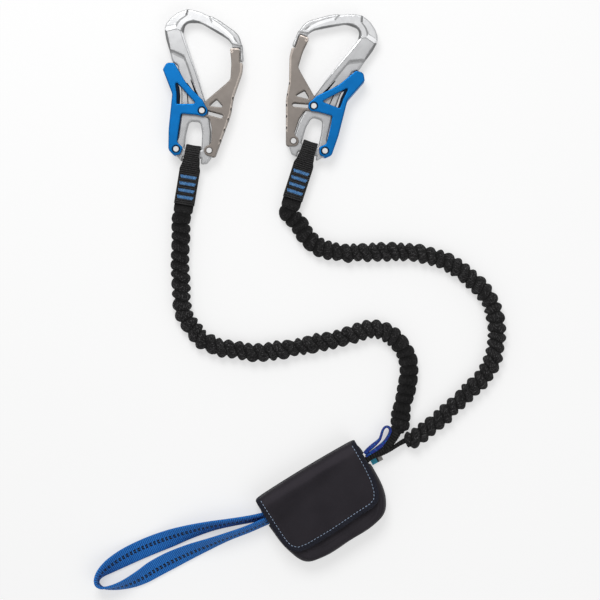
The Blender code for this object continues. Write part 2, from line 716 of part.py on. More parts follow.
outer_radius = eye_radius + webbing_thick
stitched_half = eye_stitched_thick / 2
eye_tail = [(-eye_length - overrun, stitched_half), (-eye_length - overrun, -stitched_half)]
side_view = flat("eye_side", [drop(outer_radius, eye_taper_end, stitched_half, eye_tail),
                              drop(eye_radius, eye_hollow_end, eye_hollow_end_half, [])], eye_half + overrun)
side_view.transform(Matrix(((0, 0, 1, 0), (1, 0, 0, 0), (0, 1, 0, 0), (0, 0, 0, 1))))
right_side = [(eye_half, -eye_length), (eye_half, -eye_lug_end - eye_step), (eye_lug_half, -eye_lug_end),
              (eye_lug_half, -eye_bar_end - eye_step), (eye_bar_half, -eye_bar_end),
              (eye_bar_half, outer_radius + overrun)]
plan = right_side + [(-x, y) for x, y in right_side[::-1]]
plan_view = flat("eye_plan", [plan], outer_radius + overrun)
eye_mesh = combined(side_view, [plan_view], "INTERSECT")
tacks = []
for row in range(tack_rows):
    tack_place = tack_end + tack_pitch * row - eye_length
    tacks.append(box("tack", (-tack_half_length, tack_place - tack_half_width, -stitched_half - tack_raise),
                     (tack_half_length, tack_place + tack_half_width, stitched_half + tack_raise)))
eye_mesh = softened(combined(eye_mesh, tacks, "UNION"))
for side, bar, way in (("left", left_bar, left_way), ("right", right_bar, right_way)):
    put("webbing_eye_" + side, eye_mesh, "black_webbing", (*bar, mid_level), (0, 0, atan2(way[0], -way[1])))


# Elastic arms
def elastic_arm(side, start, way, route, end, ribs, straight):
    way = Vector(way).normalized()
    first = [tuple(Vector(start) + way * straight * share) for share in (0, 0.5, 1)]
    flat_route = [*first, *route, end]
    levels = [mid_level] * 3 + [arm_low_level] * (len(route) - 1) + [mid_level, mid_level]
    spots = [(*where, level) for where, level in zip(flat_route, levels)]
    path, length = smooth(spots, 2 * ribs + 1)
    crests = np.where(np.arange(len(path)) % 2 == 0, arm_crest, arm_valley)
    left_over = length * (1 - np.linspace(0, 1, len(path)))
    narrowed = arm_tail_radius / arm_crest
    crests = crests * np.minimum(1, narrowed + (1 - narrowed) * left_over / arm_tail)
    cover = tube("elastic_arm_" + side, path, list(crests), arm_flatness_share)
    inner, length = smooth(spots, bore_points)
    kept = inner[np.linspace(0, length, bore_points) < length - bore_stop]
    before = kept[0] + (kept[0] - kept[1]) / np.linalg.norm(kept[0] - kept[1]) * overrun
    hollow = tube("bore", np.vstack([before, kept]), [arm_bore] * (len(kept) + 1), arm_flatness_share)
    cover = softened(combined(cover, [hollow]))
    put("elastic_arm_" + side, cover, "gathered_cover")
    last = kept[-1] + (kept[-2] - kept[-1]) / np.linalg.norm(kept[-2] - kept[-1]) * core_stop
    strand = tube("elastic_core_" + side, np.vstack([kept[:-1], last]), [core_radius] * len(kept),
                  arm_flatness_share)
    put("elastic_core_" + side, softened(strand), "rubber_core")


elastic_arm("left", left_arm_start, left_way, left_route, left_arm_end, left_ribs, arm_cord)
elastic_arm("right", right_arm_start, right_way, right_route, right_arm_end, right_ribs,
            arm_cord * right_straight_share)

# Straps, neck, tag and rest loop
for side, route in (("left", left_strap_route), ("right", right_strap_route)):
    strap = flat("arm_strap_" + side, [band(route, [strap_half] * len(route))], strap_half_height)
    put("arm_strap_" + side, strap, "black_webbing", (0, 0, mid_level))
neck = flat("neck_block", [band(neck_route, neck_halves)], neck_half_height)
put("neck_block", neck, "black_webbing", (0, 0, mid_level))
long_side, short_side, tag_thick = tag_size
tag_corners = [(x * long_side / 2, y * short_side / 2, tag_corner)
               for x, y in ((1, 1), (-1, 1), (-1, -1), (1, -1))]
tag_level = mid_level - neck_half_height - gap - tag_thick / 2
put("inspection_tag", flat("inspection_tag", [rounded(tag_corners)], tag_thick / 2), "tag_label",
    (*tag_place, tag_level), (0, 0, tag_turn))
rest = flat("rest_loop", [rest_outline, rest_hole], rest_half_height, rest_edge)
put("rest_loop", rest, "royal_webbing", (0, 0, rest_level))

# Pouch body: rounded bag, hollow, with a mouth under the flap and an exit at each end
pouch_loop = rounded([(x, y, pouch_corner) for x, y in pouch_outline])
outer = lofted("pouch_body", pouch_loop, pouch_centre,
               [(size, level * pouch_height) for size, level in pouch_ring_shares])
cavity_low = pouch_wall
cavity_high = pouch_height - pouch_wall
hollow = lofted("cavity", inset(pouch_loop, pouch_wall), pouch_centre,
                [(size, cavity_low + level * (cavity_high - cavity_low)) for size, level in cavity_ring_shares])
left_end = min(x for x, y in pouch_outline)
right_end = max(x for x, y in pouch_outline)
top_edge = max(y for x, y in pouch_outline)
mouth = box("mouth", (-mouth_half, top_edge - pouch_wall - overrun, mouth_low),
            (mouth_half, top_edge + overrun, mouth_high))
left_hole = box("left_hole", (left_end - overrun, left_exit[0], left_exit_levels[0]),
                (left_end + exit_depth, left_exit[1], left_exit_levels[1]))
right_hole = box("right_hole", (right_end - exit_depth, right_exit[0], right_exit_levels[0]),
                 (right_end + overrun, right_exit[1], right_exit_levels[1]))
pouch_mesh = softened(combined(outer, [hollow, mouth, left_hole, right_hole]))
pouch = put("pouch_body", pouch_mesh, "pouch_fabric", (*pouch_place, 0), (0, 0, pouch_turn))

# Flap: rolled over the top edge, hinged at the back, outline trimmed from above
strip_level = pouch_height + gap
hook_level = strip_level + strip_thick + gap
flap_under = hook_level + strip_thick + gap
flap_top = flap_under + flap_wall
flap_inner = top_edge + gap
flap_outer = flap_inner + flap_wall
flap_hinge = (flap_inner + flap_outer) / 2
flap_far = min(y for x, y in flap_outline) - overrun
knuckle = arc((flap_hinge, flap_hinge_level), flap_wall / 2, 0, -180, 6)
flap_profile = rounded(
    [(flap_far, flap_top, 0), (flap_outer, flap_top, flap_bend)] + knuckle
    + [(flap_inner, flap_under, flap_bend - flap_wall), (flap_far, flap_under, 0)])
flap_mesh = flat("pouch_flap", [flap_profile], max(x for x, y in flap_outline) + overrun * 3)
flap_mesh.transform(Matrix(((0, 0, 1, 0), (1, 0, 0, 0), (0, 1, 0, 0), (0, 0, 0, 1))))
trim = flat("flap_trim", [rounded([(x, y, pouch_corner) for x, y in flap_outline])], pouch_height * 2)
flap_mesh = combined(flap_mesh, [trim], "INTERSECT")
flap_loop = rounded([(x, y, pouch_corner) for x, y in flap_outline])
seam = flat("seam", [inset(flap_loop, seam_inset), inset(flap_loop, seam_inset + seam_width)], overrun)
flap_mesh = combined(flap_mesh, [moved(seam, (0, 0, flap_top - seam_depth + overrun))])
moved(flap_mesh, (0, -flap_hinge, -flap_hinge_level))
flap = put("pouch_flap", softened(flap_mesh), "pouch_fabric", (0, flap_hinge, flap_hinge_level), parent=pouch)
strip_corners = [(x * strip_half_length, y * strip_half_width, strip_corner)
                 for x, y in ((1, 1), (-1, 1), (-1, -1), (1, -1))]
put("flap_hook_strip", flat("flap_hook_strip", [rounded(strip_corners)], strip_thick / 2), "touch_tape",
    (0, strip_place - flap_hinge, hook_level + strip_thick / 2 - flap_hinge_level), parent=flap)
put("pouch_loop_strip", flat("pouch_loop_strip", [rounded(strip_corners)], strip_thick / 2), "touch_tape",
    (0, strip_place, strip_level + strip_thick / 2), parent=pouch)

# Tear webbing: folded to and fro, from the tie-in loop's end to the neck
neck_end = Matrix.Rotation(-pouch_turn, 2) @ (Vector(neck_route[-1]) - Vector(pouch_place))
tear_riser = neck_end.x - tear_thick / 2 - tear_clearance
folds = [(tear_start, tear_top)]
for run in range(tear_runs - 1):
    level = tear_top - tear_pitch * run
    heading = 1 if run % 2 == 0 else -1
    turn_at = tear_right if heading > 0 else tear_left
    for angle in (90, 30, -30, -90):
        folds.append((turn_at + heading * tear_pitch / 2 * cos(radians(angle)),
                      level - tear_pitch / 2 + tear_pitch / 2 * sin(radians(angle))))
last_level = tear_top - tear_pitch * (tear_runs - 1)
folds += [(tear_riser - tear_thick, last_level), (tear_riser, last_level + tear_thick),
          (tear_riser, tear_riser_top)]
tear = flat("tear_webbing", [band(folds, [tear_thick / 2] * len(folds))], tear_half_height)
put("tear_webbing", tear, "tear_fabric", (0, 0, cavity_low + gap + tear_half_height), parent=pouch)

# Tie-in loop: a band that rolls over on its way out and back
tie_heights = [tie_width / 2 * cos(radians(roll)) + tie_thick / 2 * abs(sin(radians(roll))) + gap
               for roll in tie_roll_degrees]
tie_heights[0] += tie_pouch_lift
tie_heights[-1] += tie_pouch_lift
tie_spots = [(*where, level, radians(roll))
             for where, level, roll in zip(tie_route, tie_heights, tie_roll_degrees)]
tie_path, tie_length = smooth(tie_spots, tie_points)
ribbon = bpy.data.curves.new("tie_in_loop", "CURVE")
ribbon.dimensions = "3D"
ribbon.twist_mode = "Z_UP"
ribbon.extrude = tie_width / 2
spline = ribbon.splines.new("POLY")
spline.points.add(len(tie_path) - 1)
for point, where in zip(spline.points, tie_path):
    point.co = (where[0], where[1], where[2], 1)
    point.tilt = where[3]
band_mesh = curve_mesh("tie_in_loop", ribbon)
holder = bpy.data.objects.new("tie_in_loop", band_mesh)
lanyard.objects.link(holder)
thicken = holder.modifiers.new("thickness", "SOLIDIFY")
thicken.thickness = tie_thick
thicken.offset = 0
put("tie_in_loop", softened(applied(holder)), "blue_webbing")
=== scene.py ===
import bpy
import numpy as np
from math import atan2, pi, radians
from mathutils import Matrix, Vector
from mathutils.geometry import delaunay_2d_cdt


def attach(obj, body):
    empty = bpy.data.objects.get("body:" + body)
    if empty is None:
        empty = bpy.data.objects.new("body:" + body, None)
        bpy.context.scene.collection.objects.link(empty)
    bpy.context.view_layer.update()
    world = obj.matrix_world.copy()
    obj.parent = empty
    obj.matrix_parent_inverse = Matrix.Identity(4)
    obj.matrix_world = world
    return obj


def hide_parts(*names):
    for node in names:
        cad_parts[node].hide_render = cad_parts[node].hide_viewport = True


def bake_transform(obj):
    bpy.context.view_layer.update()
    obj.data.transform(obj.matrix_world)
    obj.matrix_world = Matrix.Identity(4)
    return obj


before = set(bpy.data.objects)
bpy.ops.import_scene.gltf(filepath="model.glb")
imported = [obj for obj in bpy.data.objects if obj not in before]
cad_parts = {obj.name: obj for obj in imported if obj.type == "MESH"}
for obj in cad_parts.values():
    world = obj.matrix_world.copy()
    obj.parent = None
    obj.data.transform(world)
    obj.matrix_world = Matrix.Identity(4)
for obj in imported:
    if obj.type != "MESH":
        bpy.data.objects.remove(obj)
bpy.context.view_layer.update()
print("frame loaded")

shift = np.array([-0.0096, 0.0, 0.0])     # routes are measured before the object was centred
barLevel = 0.008                          # middle of the carabiners and of the webbing round their bars
# each carabiner's bar, the way its webbing leaves, its turn on the floor and which face is up
places = {
    "left": {"bar": (-0.0442, 0.1362), "way": (-0.1633, -0.9866), "turn": radians(-5.6), "flip": 1},
    "right": {"bar": (0.0637, 0.1398), "way": (-0.3074, -0.9516), "turn": radians(-14.5), "flip": -1},
}


# small tools

def unit(rows):
    # every vector divided by its own length
    return rows / np.maximum(np.linalg.norm(rows, axis=-1, keepdims=True), 1e-12)


def ease(value, low, high):
    # 0 below low, 1 above high, and 3t2 - 2t3 between them
    share = np.clip((value - low) / (high - low), 0, 1)
    return share * share * (3 - 2 * share)


def hump(value, middle, spread):
    # bell of height 1: e to the minus ((value - middle) / spread) squared
    return np.exp(-((value - middle) / spread) ** 2)


def travelled(path):
    # running length along the rows of a path, flat or in space
    return np.concatenate([[0], np.cumsum(np.linalg.norm(np.diff(path[:, :3], axis=0), axis=1))])


def evenly(path, count):
    # the same line read off at even steps of its length
    run = travelled(path)
    wanted = np.linspace(0, run[-1], count)
    return np.column_stack([np.interp(wanted, run, path[:, axis]) for axis in range(path.shape[1])])


def smoothRoute(points, count, finer=16):
    # centripetal Catmull-Rom curve through the points, then read off at even steps of its length
    spots = np.array(points, float)
    spots = np.vstack([2 * spots[0] - spots[1], spots, 2 * spots[-1] - spots[-2]])
    four = np.stack([spots[:-3], spots[1:-2], spots[2:-1], spots[3:]], axis=1)
    chords = np.linalg.norm(np.diff(four[:, :, :3], axis=1), axis=2) ** 0.5
    knots = np.concatenate([np.zeros((len(four), 1)), np.cumsum(chords, axis=1)], axis=1)
    share = np.linspace(0, 1, finer, endpoint=False)
    moment = (knots[:, 1:2] + (knots[:, 2:3] - knots[:, 1:2]) * share)[:, :, None]
    knot = [knots[:, i][:, None, None] for i in range(4)]
    level = [four[:, i][:, None, :] for i in range(4)]
    for span in (1, 2):
        level = [((knot[i + span] - moment) * level[i] + (moment - knot[i]) * level[i + 1])
                 / (knot[i + span] - knot[i]) for i in range(4 - span)]
    chain = ((knot[2] - moment) * level[0] + (moment - knot[1]) * level[1]) / (knot[2] - knot[1])
    chain = np.vstack([chain.reshape(-1, spots.shape[1]), spots[-2:-1]])
    return evenly(chain, count), travelled(chain)[-1]


def softened(path, reach=4):
    # running mean over a few rows, the two ends kept
    kernel = np.ones(2 * reach + 1) / (2 * reach + 1)
    padded = np.vstack([np.repeat(path[:1], reach, axis=0), path, np.repeat(path[-1:], reach, axis=0)])
    return np.column_stack([np.convolve(padded[:, axis], kernel, "valid") for axis in range(path.shape[1])])


def axesAlong(path, lean=0.0):
    # sideways (level, to the left of the direction of travel) and lift at each point, turned by lean
    ahead = unit(np.gradient(path[:, :3], axis=0))
    aside = unit(np.cross(np.array([0, 0, 1.0]), ahead))
    lift = np.cross(ahead, aside)
    lean = np.broadcast_to(lean, len(path))[:, None]
    return aside * np.cos(lean) + lift * np.sin(lean), lift * np.cos(lean) - aside * np.sin(lean)


def carried(path, aside, lift, sideways, upwards):
    # a section carried along a path: point = path + aside * sideways + lift * upwards
    return path[:, None, :3] + aside[:, None] * sideways[:, :, None] + lift[:, None] * upwards[:, :, None]


def ringAngles(columns):
    # angles of a ring's columns, as one row
    return np.linspace(0, 2 * pi, columns, endpoint=False)[None, :]


def squareRing(angle, power):
    # superellipse of half size 1: sign(cos a) |cos a| ^ power and the same of the sine
    return [np.sign(wave) * np.abs(wave) ** power for wave in (np.cos(angle), np.sin(angle))]


def placed(points, place, turn):
    # points turned about z and moved: x cos t - y sin t, x sin t + y cos t
    c, s = np.cos(turn), np.sin(turn)
    x, y, z = points[..., 0], points[..., 1], points[..., 2]
    return np.stack([x * c - y * s + place[0], x * s + y * c + place[1], z + place[2]], axis=-1)


def closedMap(flat):
    # the two coordinates of flat rings, each with its first column once more at the end
    closed = np.concatenate([flat, flat[:, :1]], axis=1)
    return closed[:, :, 0], closed[:, :, 1]


def gridPart(grid, around=False, caps=True, uv=None, keep=None, capped=(0, -1)):
    # quads between neighbouring points of a rows x columns grid, facing out where the columns turn
    # from aside to lift; around closes the columns, caps shut the rows that capped names with a fan of
    # triangles round their middle, and keep leaves out the quads where it is false
    rows, columns = grid.shape[:2]
    i, j = [a.ravel() for a in np.meshgrid(np.arange(rows - 1), np.arange(columns if around else columns - 1),
                                           indexing="ij")]
    if keep is not None:
        i, j = i[keep.ravel()], j[keep.ravel()]
    beside = (j + 1) % columns
    corners = [np.column_stack([i * columns + j, i * columns + beside, (i + 1) * columns + beside,
                                (i + 1) * columns + j]).ravel()]
    sizes = [np.full(len(i), 4)]
    if uv is None:
        uv = travelled(grid[:, 0]), travelled(np.vstack([grid[0], grid[0][:1]]) if around else grid[0])
    along, across = [np.asarray(values, float) for values in uv]
    shape = (rows, columns + around)
    along = np.broadcast_to(along[:, None] if along.ndim == 1 else along, shape)
    across = np.broadcast_to(across[None, :] if across.ndim == 1 else across, shape)
    quad = [(i, j), (i, j + 1), (i + 1, j + 1), (i + 1, j)]
    maps = [np.stack([np.column_stack([values[corner] for corner in quad]) for values in (along, across)],
                     axis=-1).reshape(-1, 2)]
    points = grid.reshape(-1, 3)
    ring = np.arange(columns)
    after = (ring + 1) % columns
    for end in capped if around and caps else ():
        row, first, second = (0, after, ring) if end == 0 else (rows - 1, ring, after)
        corners.append(np.column_stack([row * columns + first, row * columns + second,
                                        np.full(columns, len(points))]).ravel())
        points = np.vstack([points, grid[row].mean(axis=0)])
        sizes.append(np.full(columns, 3))
        maps.append(np.repeat([[along[row, 0], across[row, 0]]], 3 * columns, axis=0))
    return points, np.concatenate(corners), np.concatenate(sizes), np.vstack(maps)


def meshFrom(name, parts, finish, body="lanyard", marks=None, sharp=None, specks=None):
    # parts of points, corners, sizes and uvs put one after the other into a single mesh
    offsets = np.cumsum([0] + [len(part[0]) for part in parts])
    points = np.vstack([part[0] for part in parts]).astype(np.float32)
    corners = np.concatenate([part[1] + offset for part, offset in zip(parts, offsets)])
    sizes = np.concatenate([part[2] for part in parts])
    mesh = bpy.data.meshes.new(name)
    mesh.vertices.add(len(points))
    mesh.vertices.foreach_set("co", points.ravel())
    mesh.loops.add(len(corners))
    mesh.loops.foreach_set("vertex_index", corners.astype(np.int32))
    mesh.polygons.add(len(sizes))
    mesh.polygons.foreach_set("loop_start", np.concatenate([[0], np.cumsum(sizes)[:-1]]).astype(np.int32))
    mesh.polygons.foreach_set("loop_total", sizes.astype(np.int32))
    mesh.polygons.foreach_set("use_smooth", np.ones(len(sizes), bool))
    layer = mesh.uv_layers.new(name="UVMap")
    layer.data.foreach_set("uv", np.vstack([part[3] for part in parts]).astype(np.float32).ravel())
    for label, values in (("mark", marks), ("speck", specks)):
        if values is not None:
            layer = mesh.attributes.new(label, "FLOAT", "POINT" if len(values) == len(points) else "CORNER")
            layer.data.foreach_set("value", np.asarray(values, np.float32))
    mesh.update()
    mesh.validate()
    if sharp:
        mesh.set_sharp_from_angle(angle=sharp)
    mesh.materials.append(finishes[finish])
    item = bpy.data.objects.new(name, mesh)
    bpy.context.scene.collection.objects.link(item)
    if body:
        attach(item, body)
    return item


def standsFor(item, node):
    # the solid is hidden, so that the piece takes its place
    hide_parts(node)


def capMarks(marks):
    # a mark for every point of a capped ring grid: the grid's own, then the two middle points
    return np.concatenate([marks.ravel(), [marks[0].mean(), marks[-1].mean()]])


def threadPart(path, radius, sides=6):
    # round thread: path + radius * (aside * cos a + lift * sin a)
    angle = ringAngles(sides)
    grid = carried(path, *axesAlong(path), radius * np.cos(angle), radius * np.sin(angle))
    return gridPart(grid, around=True)


# materials

def addNode(tree, kind, sockets=None, **settings):
    node = tree.nodes.new(kind)
    for name, value in settings.items():
        setattr(node, name, value)
    for socket, value in (sockets or {}).items():
        if isinstance(value, bpy.types.NodeSocket):
            tree.links.new(value, node.inputs[socket])
        else:
            node.inputs[socket].default_value = value
    return node


def maths(tree, operation, first, second=0.0, third=0.0):
    return addNode(tree, "ShaderNodeMath", {0: first, 1: second, 2: third}, operation=operation).outputs[0]


def times(tree, first, second):
    return maths(tree, "MULTIPLY", first, second)


def timesPlus(tree, first, second, third):
    return maths(tree, "MULTIPLY_ADD", first, second, third)


def waves(tree, value, pitch, operation="SINE"):
    # one wave for each pitch of the value
    return maths(tree, operation, times(tree, value, 2 * pi / pitch))


def ranged(tree, value, low, high, bottom=0.0, top=1.0):
    return addNode(tree, "ShaderNodeMapRange", {0: value, 1: low, 2: high, 3: bottom, 4: top}).outputs[0]


def noise(tree, place, scale, detail=2.0):
    return addNode(tree, "ShaderNodeTexNoise", {"Vector": place, "Scale": scale, "Detail": detail}).outputs[0]


def markOf(tree, name="mark"):
    # a value that the mesh carries at its points or corners
    return addNode(tree, "ShaderNodeAttribute", attribute_name=name).outputs["Fac"]


def mixColour(tree, factor, first, second, clamped=True):
    node = addNode(tree, "ShaderNodeMix", {0: factor}, data_type="RGBA", clamp_factor=clamped)
    for index, value in ((6, first), (7, second)):
        if isinstance(value, bpy.types.NodeSocket):
            tree.links.new(value, node.inputs[index])
        else:
            node.inputs[index].default_value = (*value, 1)
    return node.outputs[2]


def newMaterial(name, roughness, metallic=0.0, sheen=0.0, specular=0.5):
    made = bpy.data.materials.new(name)
    made.use_nodes = True
    shader = made.node_tree.nodes["Principled BSDF"]
    for socket, value in (("Roughness", roughness), ("Metallic", metallic), ("Sheen Weight", sheen),
                          ("Specular IOR Level", specular)):
        shader.inputs[socket].default_value = value
    return made, made.node_tree, shader


def surfacePlace(tree):
    # the piece's own map in metres: x along the goods, y across them
    place = addNode(tree, "ShaderNodeUVMap", uv_map="UVMap").outputs[0]
    parts = addNode(tree, "ShaderNodeSeparateXYZ", {0: place})
    return place, parts.outputs[0], parts.outputs[1]


def objectPlace(tree):
    return addNode(tree, "ShaderNodeTexCoord").outputs["Object"]


def finished(tree, shader, colour, height, strength, distance):
    # colour and relief go into the shader
    tree.links.new(colour, shader.inputs["Base Color"])
    bump = addNode(tree, "ShaderNodeBump", {"Height": height, "Strength": strength, "Distance": distance})
    tree.links.new(bump.outputs[0], shader.inputs["Normal"])


def weaveMaterial(name, dark, light, pitchAlong, pitchAcross, roughness=0.85, depth=0.0002, speck=1100.0,
                  sheen=0.04, ribbed=0.6, creases=False, flecked=False):
    # plain weave: height = sin(a) sin(b) + ribbed sin(a); the colour follows it and two noises, goes
    # darker with painted shade in the creases where the piece is marked for them, and has pale flecks where
    # it is specked
    made, tree, shader = newMaterial(name, roughness, 0.0, sheen, 0.2)
    place, along, across = surfacePlace(tree)
    ribs = waves(tree, along, pitchAlong)
    height = timesPlus(tree, ribs, waves(tree, across, pitchAcross), times(tree, ribs, ribbed))
    tone = timesPlus(tree, height, 0.16, ranged(tree, noise(tree, place, speck, 1.0), 0.3, 0.7))
    tone = timesPlus(tree, noise(tree, place, 70.0), 0.5, tone)
    share = ranged(tree, tone, 0.35, 1.25)
    if creases:
        share = times(tree, share, ranged(tree, markOf(tree), 0.1, 0.75, 0.0, 1.0))
    if flecked:
        fleck = times(tree, ranged(tree, noise(tree, place, 640.0, 0.0), 0.50, 0.66), markOf(tree, "speck"))
        share = times(tree, share, timesPlus(tree, fleck, 2.6, 0.62))
    finished(tree, shader, mixColour(tree, share, dark, light, not flecked), height, 0.7, depth)
    return made


def twillMaterial(name, dark, light, pitch, roughness, depth, marked=False):
    # pack cloth: fine diagonal yarns, height = sin(along + across) + half sin(across), over soft clouds;
    # where the piece is marked, its tone follows the mark's painted light and shade
    made, tree, shader = newMaterial(name, roughness, 0.0, 0.05, 0.25)
    place, along, across = surfacePlace(tree)
    slant = waves(tree, maths(tree, "ADD", along, across), pitch)
    height = timesPlus(tree, waves(tree, across, pitch / 2), 0.5, slant)
    tone = timesPlus(tree, height, 0.10, noise(tree, place, 1500.0, 1.0))
    tone = timesPlus(tree, noise(tree, place, 35.0, 3.0), 0.6, tone)
    share = ranged(tree, tone, 0.45, 1.15)
    if marked:
        mark = markOf(tree)
        share = maths(tree, "ADD", times(tree, share, mark), ranged(tree, mark, 0.8, 1.6, 0.0, 0.8))
    broad = timesPlus(tree, noise(tree, place, 60.0, 3.0), 6.0, height)
    finished(tree, shader, mixColour(tree, share, dark, light), broad, 0.5, depth)
    return made


def metalMaterial(name, colour, roughness, metallic, marked=False, grain=0.06, wear=(0.92, 1.04)):
    # satin metal: fine noise in the roughness, a shallow blasted bump and slow cloudy wear; where the
    # piece carries marks, they scale its colour with painted light and painted shade on its faces
    made, tree, shader = newMaterial(name, roughness, metallic)
    place = objectPlace(tree)
    fine = noise(tree, place, 2400.0)
    tone = ranged(tree, noise(tree, place, 110.0, 3.0), 0.35, 0.7, *wear)
    if marked:
        tone = times(tree, tone, markOf(tree))
    tinted = addNode(tree, "ShaderNodeVectorMath", {0: colour, "Scale": tone}, operation="SCALE")
    satin = ranged(tree, fine, 0.3, 0.7, roughness - grain, roughness + grain)
    tree.links.new(satin, shader.inputs["Roughness"])
    finished(tree, shader, tinted.outputs[0], fine, 0.25, 0.00005)
    return made


dashes = {"from": 0.0002, "to": 0.0019, "pitch": 0.0040, "share": 0.58, "slant": 0.35, "rib": 0.0017,
          "yarn": 0.0009}


def tieMaterial():
    # ribbed blue tape; black pairs of dashes lie on both sides of its middle and fill the first share of
    # every pitch of its length
    look = dashes
    made, tree, shader = newMaterial("blueWebbing", 0.78, 0.0, 0.08, 0.25)
    place, along, across = surfacePlace(tree)
    ribs = waves(tree, along, look["rib"], "COSINE")
    yarn = waves(tree, across, look["yarn"])
    fine = noise(tree, place, 1400.0)
    tone = timesPlus(tree, ribs, 0.48, timesPlus(tree, yarn, 0.06, fine))
    tone = timesPlus(tree, noise(tree, place, 50.0), 0.2, tone)
    blue = mixColour(tree, ranged(tree, tone, 0.10, 1.10), (0.003, 0.065, 0.31), (0.030, 0.27, 0.80))
    side = maths(tree, "ABSOLUTE", across)
    inner, outer = maths(tree, "GREATER_THAN", side, look["from"]), maths(tree, "LESS_THAN", side, look["to"])
    pairs = times(tree, timesPlus(tree, side, look["slant"], along), 1 / look["pitch"])
    step = maths(tree, "LESS_THAN", maths(tree, "FRACT", pairs), look["share"])
    dashed = times(tree, times(tree, outer, inner), step)
    black = mixColour(tree, fine, (0.002, 0.003, 0.006), (0.010, 0.014, 0.020))
    height = timesPlus(tree, yarn, 0.4, ribs)
    finished(tree, shader, mixColour(tree, dashed, blue, black), height, 0.8, 0.0002)
    return made


def restMaterial():
    # royal blue braid with flecks of cyan and violet: colour chosen by two noises over diagonal yarns
    made, tree, shader = newMaterial("royalWebbing", 0.8, 0.0, 0.08, 0.25)
    place, along, across = surfacePlace(tree)
    slant, other = [waves(tree, maths(tree, way, along, across), 0.0013) for way in ("ADD", "SUBTRACT")]
    height = times(tree, slant, other)
    royal = mixColour(tree, ranged(tree, height, -1.0, 1.0), (0.004, 0.016, 0.19), (0.020, 0.075, 0.46))
    cyan = ranged(tree, noise(tree, place, 520.0, 1.0), 0.56, 0.66)
    violet = ranged(tree, noise(tree, place, 700.0, 0.0), 0.60, 0.68)
    flecked = mixColour(tree, cyan, royal, (0.012, 0.22, 0.52))
    finished(tree, shader, mixColour(tree, violet, flecked, (0.075, 0.035, 0.33)), height, 0.8, 0.0002)
    return made


def labelMaterial(cyanTo=0.0056, greyFrom=0.0070):
    # printed label: cyan to begin with, a dark line across it, then grey, all with a fine grain
    made, tree, shader = newMaterial("tagLabel", 0.5, 0.0, 0.0, 0.4)
    place, along = surfacePlace(tree)[:2]
    grain = noise(tree, place, 1500.0)
    cyan = mixColour(tree, grain, (0.015, 0.30, 0.46), (0.04, 0.46, 0.64))
    grey = mixColour(tree, grain, (0.30, 0.29, 0.28), (0.52, 0.50, 0.49))
    colour = mixColour(tree, ranged(tree, along, cyanTo, cyanTo + 0.0002), cyan, (0.01, 0.012, 0.014))
    colour = mixColour(tree, ranged(tree, along, greyFrom, greyFrom + 0.0003), colour, grey)
    finished(tree, shader, colour, grain, 0.3, 0.0001)
    return made


def rubberMaterial():
    # pale rubber strand, lightly mottled, on object coordinates
    made, tree, shader = newMaterial("rubberCore", 0.6)
    grain = noise(tree, objectPlace(tree), 900.0)
    finished(tree, shader, mixColour(tree, grain, (0.42, 0.37, 0.28), (0.60, 0.55, 0.44)), grain, 0.3, 0.0001)
    return made


def grey(value):
    return (value, value, value)


finishes = {
    "satin_aluminium": metalMaterial("satinAluminium", (0.70, 0.705, 0.715), 0.36, 0.55, True),
    "gate_metal": metalMaterial("gateMetal", (0.255, 0.225, 0.203), 0.42, 0.55, True),
    "lever_blue": metalMaterial("leverBlue", (0.0, 0.155, 0.47), 0.42, 0.80, True),
    "pin_steel": metalMaterial("pinSteel", grey(0.86), 0.3, 0.35),
    "spring_steel": metalMaterial("springSteel", (0.5, 0.5, 0.51), 0.26, 1.0),
    "black_webbing": weaveMaterial("blackWebbing", grey(0.003), (0.052, 0.051, 0.052), 0.0019, 0.0011,
                                   depth=0.0003, ribbed=2.4),
    "gathered_cover": weaveMaterial("gatheredCover", grey(0.0015), (0.040, 0.039, 0.040), 0.0011, 0.0013,
                                    depth=0.0003, speck=1000.0, creases=True, flecked=True),
    "wound_cord": weaveMaterial("woundCord", grey(0.002), (0.034, 0.033, 0.032), 0.0012, 0.0010,
                                depth=0.0003, speck=1300.0, creases=True),
    "rubber_core": rubberMaterial(),
    "pouch_fabric": twillMaterial("pouchFabric", (0.011, 0.009, 0.013), (0.030, 0.026, 0.033), 0.0007, 0.75,
                                  0.00006),
    "flap_fabric": twillMaterial("flapFabric", (0.010, 0.008, 0.012), (0.034, 0.029, 0.037), 0.0007, 0.75,
                                 0.00006, True),
    "flap_binding": weaveMaterial("flapBinding", (0.006, 0.007, 0.013), (0.024, 0.025, 0.038), 0.0008, 0.0007,
                                  depth=0.0001),
    "pale_thread": weaveMaterial("paleThread", (0.24, 0.32, 0.46), (0.50, 0.60, 0.76), 0.0005, 0.0004, 0.6,
                                 0.00005),
    "tack_thread": weaveMaterial("tackThread", (0.03, 0.13, 0.36), (0.19, 0.44, 0.78), 0.0006, 0.0005, 0.5,
                                 0.00006),
    "touch_tape": weaveMaterial("touchTape", (0.006, 0.006, 0.008), (0.035, 0.035, 0.040), 0.0010, 0.0010,
                                0.95, 0.0005, sheen=0.3),
    "tear_fabric": weaveMaterial("tearFabric", (0.42, 0.40, 0.35), (0.66, 0.64, 0.58), 0.0016, 0.0018,
                                 depth=0.0003),
    "blue_webbing": tieMaterial(),
    "royal_webbing": restMaterial(),
    "tag_label": labelMaterial(),
}
